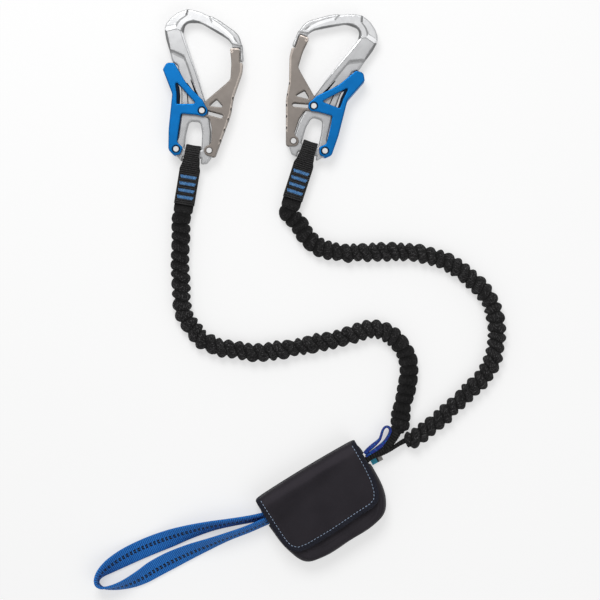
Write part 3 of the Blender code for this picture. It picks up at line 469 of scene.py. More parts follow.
nodeSlots = {
    "carabiner_body": "satin_aluminium", "gate_rivet": "pin_steel", "lever_rivet": "pin_steel",
    "cam_pin": "pin_steel", "lever_spring": "spring_steel", "gate": "gate_metal", "palm_lever": "lever_blue",
    "webbing_eye": "black_webbing", "elastic_arm": "gathered_cover", "elastic_core": "rubber_core",
    "arm_strap": "wound_cord", "neck_block": "wound_cord", "inspection_tag": "tag_label",
    "rest_loop": "royal_webbing", "pouch_body": "pouch_fabric", "pouch_flap": "pouch_fabric",
    "flap_hook_strip": "touch_tape", "pouch_loop_strip": "touch_tape", "tear_webbing": "tear_fabric",
    "tie_in_loop": "blue_webbing",
}
for nodeName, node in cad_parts.items():
    node.data.materials.clear()
    node.data.materials.append(finishes[nodeSlots[nodeName.replace("_left", "").replace("_right", "")]])
print("materials made")


# elastic arms: tubular webbing gathered over rubber

armSizes = {
    # the cover: radius on the folds, their depth, height as a share of width, and lowest point
    "crest": 0.0089, "lobe": 0.0062, "deepest": 0.0033, "flatness": 0.80, "lowest": 0.0002, "middle": 0.0070,
    "rowsPerFold": 18, "columns": 60, "mapRadius": 0.0075, "diameter": 0.0165,
    # how far folds stray, as shares of a fold or of the radius, and the fine cloth ripple
    "stray": 0.07, "bend": 0.05, "wander": 0.035, "swell": 0.035, "leastSwell": 0.93, "mostSwell": 1.05,
    "sideSwell": 0.05, "leanSharpness": 2.2, "waist": 0.0006, "waistWidth": 0.28, "ripple": 0.00012,
    "flatPleat": 0.42, "pleatPower": 0.28,
    # painted light and shade of the cloth: the painted shade that skew and the middle of the arm take from a
    # fold, and the tab's own level
    "skewShade": 0.85, "middleShade": 0.3, "middleWidth": 0.2, "tabTone": 0.6,
    # both ends: the flat tab that lies in the webbing eye, and the drawn-in tail
    "inEye": 0.004, "tabHalfWidth": 0.0090, "tabHalfHeight": 0.0008, "tabRun": 0.009, "tailLength": 0.0050,
    "tailRadius": 0.0042,
    # the rubber strand inside
    "core": 0.0024, "coreSides": 14,
}
# density, tilt, pleat and skew are pairs of the share of the length and the value there
arms = {
    "left": {
        "start": (-0.05217, 0.08805), "straight": 0.0170, "folds": 46, "seed": 4,
        "exit": (-0.0618, 0.0881, 0.008),
        "route": [
            (-0.0550, 0.0614), (-0.0556, 0.0344), (-0.0553, 0.0093), (-0.0530, -0.0102), (-0.0493, -0.0186),
            (-0.0437, -0.0279), (-0.0353, -0.0367), (-0.0223, -0.0428), (-0.0074, -0.0458), (0.0093, -0.0481),
            (0.0232, -0.0484), (0.0391, -0.0465), (0.0558, -0.0435), (0.0744, -0.0398), (0.0911, -0.0363),
            (0.1079, -0.0313), (0.1235, -0.0277), (0.1339, -0.0293), (0.1445, -0.0356), (0.1530, -0.0470),
            (0.1570, -0.0595), (0.1568, -0.0719), (0.1543, -0.0856), (0.1512, -0.1004), (0.1493, -0.1107),
            (0.1481, -0.1167), (0.1464, -0.1233)],
        "density": ((0, 1.1), (0.10, 1.0), (0.3, 0.97), (0.62, 0.95), (0.75, 1.05), (1, 1.08)),
        "tilt": ((0, -0.05), (0.05, -0.10), (0.10, -0.35), (0.24, -0.45), (0.30, 0.35), (0.34, 0.5),
                 (0.66, 0.5), (0.76, 0.25), (0.82, 0.05), (0.95, 0.0), (1, -0.2)),
        "pleat": ((0, 0.9), (0.06, 0.8), (0.15, 0.45), (0.20, 0.1), (0.74, 0.0), (0.81, 0.8), (0.97, 1.0),
                  (1, 0.3)),
        "skew": ((0, 0.5), (0.06, 0.9), (0.18, 0.7), (0.24, 0.2), (0.74, 0.1), (0.80, 0.6), (0.96, 0.9),
                 (1, 0.3)),
    },
    "right": {
        "start": (0.04870, 0.09336), "straight": 0.0119, "folds": 46, "seed": 9,
        "exit": (0.0391, 0.0934, 0.008),
        "route": [
            (0.0545, 0.0705), (0.0614, 0.0595), (0.0698, 0.0516), (0.0800, 0.0465), (0.0967, 0.0439),
            (0.1116, 0.0442), (0.1302, 0.0448), (0.1488, 0.0448), (0.1665, 0.0435), (0.1832, 0.0391),
            (0.1972, 0.0326), (0.2102, 0.0235), (0.2213, 0.0140), (0.2297, 0.0042), (0.2353, -0.0074),
            (0.2381, -0.0195), (0.2390, -0.0307), (0.2384, -0.0418), (0.2358, -0.0530), (0.2306, -0.0642),
            (0.2237, -0.0744), (0.2148, -0.0837), (0.2046, -0.0935), (0.1944, -0.1032), (0.1835, -0.1130),
            (0.1721, -0.1223), (0.1623, -0.1287), (0.1539, -0.1321)],
        "density": ((0, 1.1), (0.12, 1.0), (0.6, 1.03), (1, 0.95)),
        "tilt": ((0, 0.05), (0.08, 0.1), (0.2, 0.35), (0.3, 0.45), (0.55, 0.35), (0.66, -0.25), (0.75, -0.5),
                 (1, -0.5)),
        "pleat": ((0, 0.9), (0.1, 0.7), (0.17, 0.3), (0.25, 0.0), (1, 0.0)),
        "skew": ((0, 0.5), (0.06, 0.9), (0.15, 0.6), (0.24, 0.2), (1, 0.1)),
    },
}


def armPath(side, arm):
    # middle line of an arm: straight out of the webbing eye, then along its route
    size = armSizes
    way = np.array(places[side]["way"]) / np.hypot(*places[side]["way"])
    start = np.array(arm["start"])
    first = [tuple(start + way * run) for run in (-size["inEye"], 0, arm["straight"] / 2, arm["straight"])]
    spots = np.array([*first, *arm["route"]])
    levels = np.full(len(spots), size["middle"])
    levels[[0, 1, 2, -2, -1]] = barLevel
    return smoothRoute(np.column_stack([spots, levels]) + shift, arm["folds"] * size["rowsPerFold"] + 1)


def armFolds(arm, share, angle):
    # the phase counts the folds along the arm and leans by a share of a fold from the right edge to the
    # left one, most of it over the middle; t is the place in a fold, -1 to 1, and the radius is
    # crest - deepest * tanh(lobe * (1 - (1 - t^2) ^ power) / deepest), power 0.5 for round lobes and
    # less for flat pleats; the tone is painted light on the crowns and painted shade in the folds and on
    # the side that a skewed fold turns away
    size = armSizes
    draw = np.random.default_rng(arm["seed"])
    centres = np.arange(arm["folds"] + 1) / arm["folds"]
    vary = lambda middle, spread: np.interp(share, centres, draw.normal(middle, spread, arm["folds"] + 1))
    table = lambda name: np.interp(share, *np.array(arm[name]).T)
    density = table("density")[:, 0]
    count = np.cumsum(density) - density[0]
    count = (count / count[-1] * arm["folds"])[:, None]
    pleat, stagger, skew = table("pleat"), table("tilt") + vary(0, size["stray"]), table("skew")
    sideways = np.cos(angle)
    leaning = np.tanh(size["leanSharpness"] * sideways) / np.tanh(size["leanSharpness"])
    phase = (count + vary(0, size["stray"]) + 0.5 * stagger * leaning + vary(0, size["bend"]) * sideways ** 2
             + size["wander"] * np.sin(3 * angle + count * 1.9))
    t = 2 * (phase - np.round(phase))
    crown = np.maximum(1 - t ** 2, 0) ** (0.5 - size["pleatPower"] * pleat)
    swell = np.clip(vary(1.0, size["swell"]), size["leastSwell"], size["mostSwell"])
    swell = swell * (1 + size["sideSwell"] * vary(0, 1.0) * sideways)
    waist = size["waist"] * np.abs(stagger) * hump(sideways, 0, size["waistWidth"])
    depth = size["lobe"] * (1 - size["flatPleat"] * pleat) * (1 - crown)
    radius = size["crest"] * swell - waist - size["deepest"] * np.tanh(depth / size["deepest"])
    radius = radius + size["ripple"] * np.sin(count * 31 + 9 * angle) * np.sin(13 * angle - count * 17)
    tone = crown * (1 - size["skewShade"] * skew * (1 - ease(t, -0.75, 0.35)))
    tone = tone * (1 - size["middleShade"] * hump(sideways, 0, size["middleWidth"]) * np.abs(stagger))
    return radius, tone, pleat


def gatheredTube(side, arm):
    # the folded radius carried along the path and pressed in height; at the bar it goes over into the flat
    # tab, and over the tail it shrinks with the square root of the length that is left
    size = armSizes
    path, length = armPath(side, arm)
    share = np.linspace(0, 1, len(path))[:, None]
    angle = ringAngles(size["columns"])
    radius, tone, pleat = armFolds(arm, share, angle)
    tail = np.sqrt(np.clip((1 - share) * length / size["tailLength"], 0, 1))
    drawn = size["tailRadius"] / size["crest"]
    wide = radius * (drawn + (1 - drawn) * tail)
    fromTab = ease(share * length, size["inEye"] - 0.001, size["inEye"] + size["tabRun"])
    across = wide * fromTab + size["tabHalfWidth"] * (1 - fromTab)
    tall = wide * size["flatness"] * fromTab + size["tabHalfHeight"] * (1 - fromTab)
    grid = carried(path, *axesAlong(path), across * np.cos(angle), tall * np.sin(angle))
    grid[:, :, 2] = np.maximum(grid[:, :, 2], size["lowest"])
    steps = np.linalg.norm(np.diff(grid, axis=0), axis=2)
    along = np.vstack([np.zeros((1, size["columns"])), np.cumsum(steps, axis=0)])
    uv = (np.column_stack([along, along[:, 0]]),
          np.linspace(0, 2 * pi * size["mapRadius"], size["columns"] + 1))
    marks = np.broadcast_to(tone * fromTab + size["tabTone"] * (1 - fromTab), grid.shape[:2])
    specks = np.broadcast_to(1 - pleat, grid.shape[:2])
    cover = meshFrom("armCover_" + side, [gridPart(grid, around=True, uv=uv)], "gathered_cover",
                     marks=capMarks(marks), specks=capMarks(specks))
    standsFor(cover, "elastic_arm_" + side)
    inside = path[size["rowsPerFold"] * 2:-size["rowsPerFold"]:6]
    core = meshFrom("armCore_" + side, [threadPart(inside, size["core"], size["coreSides"])], "rubber_core")
    standsFor(core, "elastic_core_" + side)
    print("arm", side, round(length * 1000), "mm")


for side, arm in arms.items():
    gatheredTube(side, arm)


# webbing eyes: doubled black webbing round each bar, held by four rows of blue bar tacks

def bandPart(path, halfWidth, thickness, aside, lift, ribPitch, ribDepth, columns, curl=0.0, serration=0.0):
    # point = path + aside * x * halfWidth + lift * level, where level is half the thickness, rounded off
    # over the last half thickness, with ribs of ribDepth * cos(2 pi s / ribPitch) and a curl of x squared;
    # the selvedges go in and out by the serration once for each rib
    run = travelled(path)
    rows = len(path)
    wave = np.cos(2 * pi * run / ribPitch)
    half = (np.broadcast_to(halfWidth, rows) + serration * wave)[:, None]
    x = np.sin(np.linspace(-pi / 2, pi / 2, columns))[None, :]
    toEdge = (1 - np.abs(x)) * half / (thickness / 2)
    high = thickness / 2 * np.sqrt(np.maximum(1 - np.clip(1 - toEdge, 0, 1) ** 2, 0.0))
    ribs = ribDepth * wave[:, None] * np.clip(toEdge, 0, 1)
    bend = np.broadcast_to(curl, rows)[:, None] * x ** 2
    level = np.concatenate([high + ribs + bend, (-high - ribs + bend)[:, 1:-1][:, ::-1]], axis=1)
    place = np.concatenate([x[0], x[0, 1:-1][::-1]])[None, :] * half
    flat = np.concatenate([place[rows // 2], place[rows // 2, :1]])[::-1]
    return gridPart(carried(path, aside, lift, place, level)[:, ::-1], around=True, uv=(run, flat))


eyeSizes = {
    "length": 0.0485, "radius": 0.00685, "thickness": 0.0019, "layer": 0.00185, "flatFrom": 0.0205,
    "halfWidth": 0.00945, "lugHalf": 0.0079, "barHalf": 0.0069, "rows": 640, "columns": 17,
    "narrowing": (-0.0135, -0.0112, -0.0070, -0.0045), "curl": 0.0003, "bowCurl": 0.0001,
    "ribPitch": 0.00125, "ribDepth": 0.00009, "serration": 0.00008,
}
tackSizes = {"rows": 4, "first": 0.0224, "pitch": 0.0064, "half": 0.0074, "reach": 0.00085, "turns": 23,
             "thread": 0.00034, "dive": 0.0006}


def barTacks(place, turn):
    # zigzag threads: x runs over the width, the reach goes to and fro, and the thread dives at its turns by
    # dive * |zigzag| ^ 6; they lie on the webbing's curl, on both faces
    size, cloth = tackSizes, eyeSizes
    steps = np.linspace(0, size["turns"], size["turns"] * 8 + 1)
    zigzag = 2 / pi * np.arcsin(np.sin(pi * steps))
    x = np.linspace(-size["half"], size["half"], len(steps))
    rise = cloth["curl"] * (x / cloth["halfWidth"]) ** 2 - size["dive"] * np.abs(zigzag) ** 6
    high = cloth["layer"] + cloth["thickness"] / 2 + size["thread"] * 0.55 + rise
    threads = []
    for face in (1, -1):
        for row in range(size["rows"]):
            y = 2 * size["reach"] * zigzag - size["first"] - size["pitch"] * row
            path = placed(np.column_stack([x, y, face * high]), place, turn)
            threads.append(threadPart(path, size["thread"]))
    return threads


def webbingEye(side, eye):
    # side view, y away from the bar and z up: two straight layers, the tangents to the circle round the
    # bar and the arc between them; touch angle = angle of the outer point - acos(radius / its distance)
    size = eyeSizes
    turn = atan2(eye["way"][0], -eye["way"][1])
    place = (*(np.array(eye["bar"]) + shift[:2]), barLevel)
    far = np.array([-size["flatFrom"], size["layer"]])
    touch = np.arctan2(far[1], far[0]) - np.arccos(size["radius"] / np.hypot(*far))
    angles = np.linspace(touch, -touch, 60)
    bow = np.column_stack([np.cos(angles), np.sin(angles)]) * size["radius"]
    layer = np.linspace((-size["length"], size["layer"]), far, 30, endpoint=False)
    slope = np.linspace(far, bow[0], 20, endpoint=False)
    outline = np.vstack([layer, slope, bow, slope[::-1] * [1, -1], layer[::-1] * [1, -1]])
    route = softened(evenly(np.column_stack([np.zeros(len(outline)), outline]), size["rows"]), 9)
    y = route[:, 1]
    widths = [size[key] for key in ("halfWidth", "lugHalf", "barHalf") for _ in (0, 1)]
    half = np.interp(y, [-1, *size["narrowing"], 1], widths)
    half = softened(half[:, None], 12)[:, 0]
    across = np.broadcast_to(np.array([1.0, 0, 0]), route.shape)
    inward = np.cross(unit(np.gradient(route, axis=0)), across)
    spin = lambda rows: placed(rows, (0, 0, 0), turn)
    curl = -size["curl"] - size["bowCurl"] * ease(y, -0.016, -0.004)
    part = bandPart(placed(route, place, turn), half, size["thickness"], spin(across), spin(inward),
                    size["ribPitch"], size["ribDepth"], size["columns"], curl, size["serration"])
    band = meshFrom("webbingEye_" + side, [part], "black_webbing")
    standsFor(band, "webbing_eye_" + side)
    tacks = meshFrom("barTacks_" + side, barTacks(place, turn), "tack_thread")


for side, eye in places.items():
    webbingEye(side, eye)
print("webbing eyes made")


# straps and neck: the arms' narrowed ends and the sewn block where they meet, wound with thread

strapSizes = {"pitch": 0.0024, "ridge": 0.075, "sway": 0.5, "square": 0.85, "drawnIn": 0.0014,
              "rowStep": 0.00032, "columns": 40}
# points of a route: x, y, height, then half the width and half the height there
straps = {
    "armStrap_left": {
        "node": "arm_strap_left",
        "route": [(0.1465, -0.1200, 0.0080, 0.0050, 0.0046), (0.1437, -0.1256, 0.0082, 0.0047, 0.0045),
                  (0.1407, -0.1307, 0.0084, 0.0043, 0.0044), (0.1375, -0.1352, 0.0085, 0.0039, 0.0043),
                  (0.1348, -0.1384, 0.0085, 0.0034, 0.0042)],
    },
    "armStrap_right": {
        "node": "arm_strap_right",
        "route": [(0.1553, -0.1302, 0.0076, 0.0026, 0.0030), (0.1525, -0.1314, 0.0075, 0.0024, 0.0032),
                  (0.1496, -0.1329, 0.0075, 0.0022, 0.0033), (0.1464, -0.1349, 0.0075, 0.0020, 0.0034),
                  (0.1411, -0.1384, 0.0077, 0.0018, 0.0035), (0.1372, -0.1407, 0.0078, 0.0019, 0.0036)],
    },
    "neck": {
        "node": "neck_block",
        "route": [(0.1392, -0.1376, 0.0080, 0.0030, 0.0036), (0.1370, -0.1385, 0.0080, 0.0037, 0.0046),
                  (0.1338, -0.1404, 0.0080, 0.0035, 0.0048), (0.1304, -0.1422, 0.0080, 0.0032, 0.0048),
                  (0.1266, -0.1439, 0.0080, 0.0029, 0.0048), (0.1220, -0.1457, 0.0080, 0.0029, 0.0048),
                  (0.1177, -0.1489, 0.0080, 0.0030, 0.0048), (0.1158, -0.1517, 0.0080, 0.0031, 0.0048)],
    },
}


def woundTube(name, strap):
    # superellipse section of the given half width and half height, swelled by a share of the ridge
    # sqrt(0.5 + 0.5 cos(2 pi s / pitch + angle)), so that the turns of thread run slantwise round it; both
    # ends are drawn in
    size = strapSizes
    rough = np.array(strap["route"]) + np.array([*shift, 0, 0])
    path, length = smoothRoute(rough, int(travelled(rough)[-1] / size["rowStep"]))
    run = travelled(path)[:, None]
    angle = ringAngles(size["columns"])
    turns = 2 * pi * run / size["pitch"] + angle + size["sway"] * np.sin(run * 900)
    ridge = np.sqrt(np.maximum(0.5 + 0.5 * np.cos(turns), 0.0))
    ends = np.sqrt(np.clip(np.minimum(run, length - run) / size["drawnIn"], 0.02, 1))
    swell = (1 + size["ridge"] * (ridge - 0.6)) * ends
    sideways, upwards = squareRing(angle, size["square"])
    grid = carried(path, *axesAlong(path), sideways * path[:, 3:4] * swell, upwards * path[:, 4:5] * swell)
    # the mark paints shade into the grooves between the turns of thread
    item = meshFrom(name, [gridPart(grid, around=True)], "wound_cord", marks=capMarks(ridge))
    standsFor(item, strap["node"])


for name, strap in straps.items():
    woundTube(name, strap)


# rest loop: short royal blue braid, both legs pressed together where they enter the pouch

restSizes = {"halfHeight": 0.0038, "level": 0.0080, "rows": 300, "columns": 28, "square": 0.8,
             "braid": 0.00013, "braidPitch": 0.0026}
# the middle of the braid seen from above, and half its width there
restRoute = [
    (0.1160, -0.1430, 0.0018), (0.1186, -0.1400, 0.0019), (0.1218, -0.1371, 0.0020),
    (0.1250, -0.1344, 0.0019), (0.1277, -0.1320, 0.0016), (0.1299, -0.1296, 0.0013),
    (0.1312, -0.1264, 0.0012), (0.1321, -0.1232, 0.0012), (0.1334, -0.1201, 0.0011),
    (0.1352, -0.1183, 0.0011), (0.1369, -0.1179, 0.0011), (0.1388, -0.1188, 0.0013),
    (0.1400, -0.1212, 0.0015), (0.1394, -0.1243, 0.0016), (0.1377, -0.1275, 0.0015),
    (0.1355, -0.1307, 0.0015), (0.1335, -0.1333, 0.0017), (0.1304, -0.1363, 0.0020),
    (0.1272, -0.1387, 0.0020), (0.1234, -0.1414, 0.0019), (0.1202, -0.1438, 0.0018),
    (0.1173, -0.1461, 0.0016)]


def restLoop():
    # superellipse section carried along the loop, with a braid of two crossing waves in its radius
    size = restSizes
    spots = np.array(restRoute)
    spots = np.column_stack([spots[:, :2] + shift[:2], np.full(len(spots), size["level"]), spots[:, 2]])
    path, length = smoothRoute(spots, size["rows"])
    angle = ringAngles(size["columns"])
    turns = 2 * pi * travelled(path)[:, None] / size["braidPitch"]
    braid = size["braid"] * np.cos(turns + 2 * angle) * np.cos(turns - 2 * angle)
    sideways, upwards = squareRing(angle, size["square"])
    grid = carried(path, *axesAlong(path), sideways * (path[:, 3:4] + braid),
                   upwards * (size["halfHeight"] + braid))
    item = meshFrom("restLoop", [gridPart(grid, around=True)], "royal_webbing")
    standsFor(item, "rest_loop")
    print("rest loop", round(length * 1000), "mm")


restLoop()


# inspection tag: a label folded over, lying under the neck

tagSizes = {"length": 0.0110, "halfWidth": 0.0026, "sheet": 0.00042, "fold": 0.00052, "level": 0.0015,
            "place": (0.1274, -0.1494), "turn": radians(28), "rise": 0.0005, "rows": 90, "columns": 11,
            "ribPitch": 0.0007, "ribDepth": 0.00001}


def foldedLabel():
    # the label's path: out along the lower layer, half a turn of the fold radius, back along the upper one;
    # both ends rise with the square of their distance from the middle
    size = tagSizes
    half = size["length"] / 2
    bow = np.linspace(-pi / 2, pi / 2, 14)
    lower = np.column_stack([np.linspace(-half, half - size["fold"], 24), np.full(24, -size["fold"])])
    fold = np.column_stack([half - size["fold"] + size["fold"] * np.cos(bow), size["fold"] * np.sin(bow)])
    outline = np.vstack([lower * [1, -1], fold[::-1][1:-1], lower[::-1]])
    path = evenly(np.column_stack([outline[:, 0], np.zeros(len(outline)), outline[:, 1]]), size["rows"])
    path[:, 2] = path[:, 2] + size["rise"] * (path[:, 0] / half) ** 2
    across = np.broadcast_to(np.array([0, 1.0, 0]), path.shape)
    inward = np.cross(unit(np.gradient(path, axis=0)), across)
    place = np.array([*size["place"], size["level"]]) + shift
    spin = lambda rows: placed(rows, (0, 0, 0), size["turn"])
    part = bandPart(placed(path, place, size["turn"]), size["halfWidth"], size["sheet"], spin(across),
                    spin(inward), size["ribPitch"], size["ribDepth"], size["columns"])
    standsFor(meshFrom("inspectionTag", [part], "tag_label"), "inspection_tag")


foldedLabel()
print("straps, neck, rest loop and tag made")


# tie-in loop: a blue band that rolls over on its way out and back

tieSizes = {"width": 0.0180, "thickness": 0.0023, "lift": 0.0008, "offFloor": 0.0004, "rows": 1300,
            "columns": 21, "ribPitch": 0.0017, "ribDepth": 0.00014, "curl": 0.0003, "serration": 0.00012}
tieRoute = [
    (0.0255, -0.2004), (0.0100, -0.2039), (-0.0093, -0.2072), (-0.0279, -0.2108), (-0.0493, -0.2167),
    (-0.0670, -0.2230), (-0.0837, -0.2294), (-0.0995, -0.2363), (-0.1116, -0.2424), (-0.1220, -0.2486),
    (-0.1290, -0.2543), (-0.1324, -0.2598), (-0.1322, -0.2645), (-0.1280, -0.2674), (-0.1190, -0.2672),
    (-0.1100, -0.2652), (-0.1000, -0.2616), (-0.0905, -0.2570), (-0.0809, -0.2513), (-0.0670, -0.2438),
    (-0.0474, -0.2344), (-0.0279, -0.2263), (-0.0112, -0.2197), (0.0075, -0.2128), (0.0255, -0.2048)]
# how far the band has rolled over at each of these points, in degrees: 0 stands on edge, 90 lies flat
tieRoll = [25, 25, 27, 35, 52, 72, 80, 76, 64, 46, 26, 10, 0, -8, -18, -29, -44, -58, -70, -72, -56, -38, -28,
           -25, -25]


def tieInLoop():
    # centre height = half width * cos(roll) + half thickness * |sin(roll)|, so that the lower edge of the
    # band rests on the floor all the way round
    size = tieSizes
    roll = np.radians(tieRoll)
    high = size["width"] / 2 * np.cos(roll) + size["thickness"] / 2 * np.abs(np.sin(roll)) + size["offFloor"]
    high[[0, -1]] += size["lift"]
    path, length = smoothRoute(np.column_stack([np.array(tieRoute) + shift[:2], high, roll]), size["rows"])
    part = bandPart(path, size["width"] / 2, size["thickness"], *axesAlong(path, pi / 2 + path[:, 3]),
                    size["ribPitch"], size["ribDepth"], size["columns"], size["curl"], size["serration"])
    standsFor(meshFrom("tieInLoop", [part], "blue_webbing"), "tie_in_loop")
    print("tie-in loop", round(length * 1000), "mm")


tieInLoop()


# outlines: shared by the pouch and the metal plates

def roundedLoop(corners, spacing=0.0008, step=radians(7)):
    # every corner x, y, radius becomes points on the arc that fits into it; read off at even steps
    spots, wished = np.array(corners, float)[:, :2], np.array(corners, float)[:, 2]
    back, ahead = np.roll(spots, 1, axis=0) - spots, np.roll(spots, -1, axis=0) - spots
    lengths = np.minimum(np.hypot(*back.T), np.hypot(*ahead.T))
    back, ahead = unit(back), unit(ahead)
    inside = np.arccos(np.clip((back * ahead).sum(axis=1), -1, 1))
    run = np.minimum(wished / np.maximum(np.tan(inside / 2), 1e-6), lengths * 0.49)
    radius = run * np.tan(inside / 2)
    loop = []
    for spot, before, after, angle, leg, bend in zip(spots, back, ahead, inside, run, radius):
        if bend <= 1e-6 or angle > pi * 0.985:
            loop.append(spot[None])
            continue
        centre = spot + unit(before + after) * (bend / np.sin(angle / 2))
        first, last = spot + before * leg - centre, spot + after * leg - centre
        start = np.arctan2(first[1], first[0])
        sweep = (np.arctan2(last[1], last[0]) - start + pi) % (2 * pi) - pi
        turns = start + sweep * np.linspace(0, 1, max(2, int(abs(sweep) / step) + 1))
        loop.append(centre + bend * np.column_stack([np.cos(turns), np.sin(turns)]))
    loop = np.vstack(loop)
    return closedEvenly(loop[np.hypot(*(loop - np.roll(loop, 1, axis=0)).T) > 0.00002], spacing)


def closedEvenly(loop, spacing, extra=1):
    # a closed line read off at even steps, without its first point again at the end
    closed = np.vstack([loop, loop[:1]])
    return evenly(closed, int(travelled(closed)[-1] / spacing) + extra)[:-1]


def nextOf(loop):
    return np.roll(loop, -1, axis=0)


def twiceArea(loop):
    # the sum of x1 y2 - x2 y1, positive for a loop that turns anticlockwise
    after = nextOf(loop)
    return np.sum(loop[:, 0] * after[:, 1] - after[:, 0] * loop[:, 1])


def anticlockwise(loop):
    return loop if twiceArea(loop) > 0 else loop[::-1]


def inwardOf(loop):
    # inward direction at each point of an anticlockwise loop: its travel turned a quarter to the left
    travel = unit(nextOf(loop) - np.roll(loop, 1, axis=0))
    return np.column_stack([-travel[:, 1], travel[:, 0]])


def toLines(points, starts, ends):
    # distance of each point to the nearest of the segments
    run = ends - starts
    squared = np.maximum((run ** 2).sum(axis=1), 1e-16)
    nearest = []
    for some in np.array_split(points, max(1, len(points) // 1500)):
        away = some[:, None] - starts[None]
        share = np.clip((away * run[None]).sum(axis=2) / squared[None], 0, 1)
        nearest.append(np.linalg.norm(away - share[:, :, None] * run[None], axis=2).min(axis=1))
    return np.concatenate(nearest)


def toLoop(points, loop):
    return toLines(points, loop, nextOf(loop))


def within(points, loop):
    # a point is inside where a line to its right crosses the loop an odd number of times
    x, y = points[:, :1], points[:, 1:2]
    first, second = loop, nextOf(loop)
    spans = (first[None, :, 1] > y) != (second[None, :, 1] > y)
    rise = np.where(np.abs(second[:, 1] - first[:, 1]) < 1e-15, 1e-15, second[:, 1] - first[:, 1])
    reach = first[None, :, 0] + (y - first[None, :, 1]) * ((second[:, 0] - first[:, 0]) / rise)[None]
    return (spans & (x < reach)).sum(axis=1) % 2 == 1


# pouch: soft bag round the folded tear webbing, with a wrapped flap

pouchSizes = {
    "place": (0.0618, -0.1581), "turn": radians(31.1), "height": 0.0204, "wall": 0.0012,
    "centre": (-0.0015, -0.0390), "corner": 0.0300, "spacing": 0.0012, "passes": 8, "rings": 46,
    "lidRings": 34, "base": 0.0003, "lidSag": 0.00042, "seam": 0.0005, "seamLevel": 0.0112,
    "seamWidth": 0.0007,
    # slack cloth: on the sides, on the lid by the front edge, and the one crease there
    "bulge": 0.00018, "frontSlack": 0.00028, "crease": 0.0007, "creaseWidth": 0.0018, "creaseLean": 0.35,
    "creasePlace": (-0.0385, 0.064), "creaseFront": (0.056, 0.062),
    # heights where the sides begin and end and where the lid begins, and how far forward its front is
    "sideFrom": (0.004, 0.010), "sideTo": (0.0125, 0.0185), "lidFrom": (0.0150, 0.0200),
    "front": (0.052, 0.066),
    "tallness": 0.2,              # height counts for this much of the size along the profile
}
bagCorners = [
    (-0.0548, -0.0011), (-0.0564, -0.0224), (-0.0551, -0.0386), (-0.0531, -0.0536), (-0.0497, -0.0640),
    (-0.0446, -0.0718), (-0.0383, -0.0750), (-0.0256, -0.0771), (-0.0043, -0.0765), (0.0234, -0.0761),
    (0.0374, -0.0735), (0.0441, -0.0693), (0.0503, -0.0591), (0.0535, -0.0445), (0.0536, -0.0263),
    (0.0531, -0.0109), (0.0520, -0.0011)]
# side view of the bag: shares of its size and of its height
bagProfile = [(0.90, 0.0), (0.955, 0.025), (0.982, 0.09), (0.996, 0.25), (1.0, 0.45), (0.998, 0.66),
              (0.980, 0.85), (0.945, 0.955), (0.90, 0.99), (0.86, 1.0)]
# openings: least and most u, v and height, for the flap's mouth, the tie-in loop and the neck
bagOpenings = [((-0.043, 0.043), (-0.0042, 1), (0.0095, 0.0165)),
               ((-1, -0.050), (-0.0258, -0.0125), (0.0007, 0.0190)),
               ((0.0470, 1), (-0.0262, -0.0135), (0.0022, 0.0172))]


def inPouch(points):
    return placed(points, (*(np.array(pouchSizes["place"]) + shift[:2]), 0), pouchSizes["turn"])


def creased(u, v):
    # slow rise and fall of slack cloth: a few sine waves at odd angles
    return (np.sin(u * 190 + v * 120 + 1.0) * np.sin(v * 260 - u * 60) + 0.6 * np.sin(u * 310 - v * 170 + 2.0)
            + 0.4 * np.sin(u * 90 + v * 420))


def pouchBag():
    # copies of the outline, sized about the centre by a smooth profile of size and height, then the lid
    # and the base as copies that shrink to the middle; slack and the seam push the sides out, and sag and
    # one crease lower the lid; the quads whose middle lies in an opening are left out
    size = pouchSizes
    loop = roundedLoop([(*corner, size["corner"]) for corner in bagCorners], size["spacing"])
    for _ in range(size["passes"]):
        loop = loop / 2 + (np.roll(loop, 1, axis=0) + nextOf(loop)) / 4
    centre = np.array(size["centre"])
    tallness = size["tallness"]
    profile = smoothRoute([(share, level * tallness, 0) for share, level in bagProfile], size["rings"])[0]
    shares, levels = profile[:, 0], profile[:, 1] / tallness * size["height"]
    lid = np.linspace(profile[-1, 0], 0.01, size["lidRings"] + 1)[1:]
    shares = np.concatenate([lid[::-1], shares, lid])
    levels = np.concatenate([np.zeros(len(lid)), levels, np.full(len(lid), size["height"])])
    flat = centre + (loop - centre)[None] * shares[:, None, None]
    u, v = flat[:, :, 0], flat[:, :, 1]
    side = (ease(levels, *size["sideFrom"]) * (1 - ease(levels, *size["sideTo"])))[:, None]
    seam = size["seam"] * hump(levels, size["seamLevel"], size["seamWidth"])[:, None]
    outward = size["bulge"] * creased(u * 0.7, v * 0.7) * side + seam
    flat = flat - inwardOf(loop)[None] * outward[:, :, None]
    top = ease(levels, *size["lidFrom"])[:, None]
    front = ease(-v, *size["front"])
    aside, forward = size["creasePlace"]
    crease = hump(u + size["creaseLean"] * (v + forward), aside, size["creaseWidth"])
    crease = size["crease"] * crease * ease(-v, *size["creaseFront"])
    sag = size["lidSag"] * (1 - shares[:, None] ** 4) + front * (crease - size["frontSlack"] * creased(u, v))
    grid = inPouch(np.dstack([flat, np.maximum(levels[:, None] - top * sag, size["base"])]))
    heart = (flat[:-1] + flat[1:]) / 2
    heart = (heart + np.roll(heart, -1, axis=1)) / 2
    high = np.broadcast_to(((levels[:-1] + levels[1:]) / 2)[:, None], heart.shape[:2])
    heart = np.dstack([heart, high])
    cut = [np.all((heart > np.array(opening)[:, 0]) & (heart < np.array(opening)[:, 1]), axis=2)
           for opening in bagOpenings]
    bag = meshFrom("pouchBag", [gridPart(grid, around=True, keep=~np.any(cut, axis=0))], "pouch_fabric")
    wall = bag.modifiers.new("wall", "SOLIDIFY")
    wall.thickness, wall.offset = size["wall"], -1
    standsFor(bag, "pouch_body")


pouchBag()

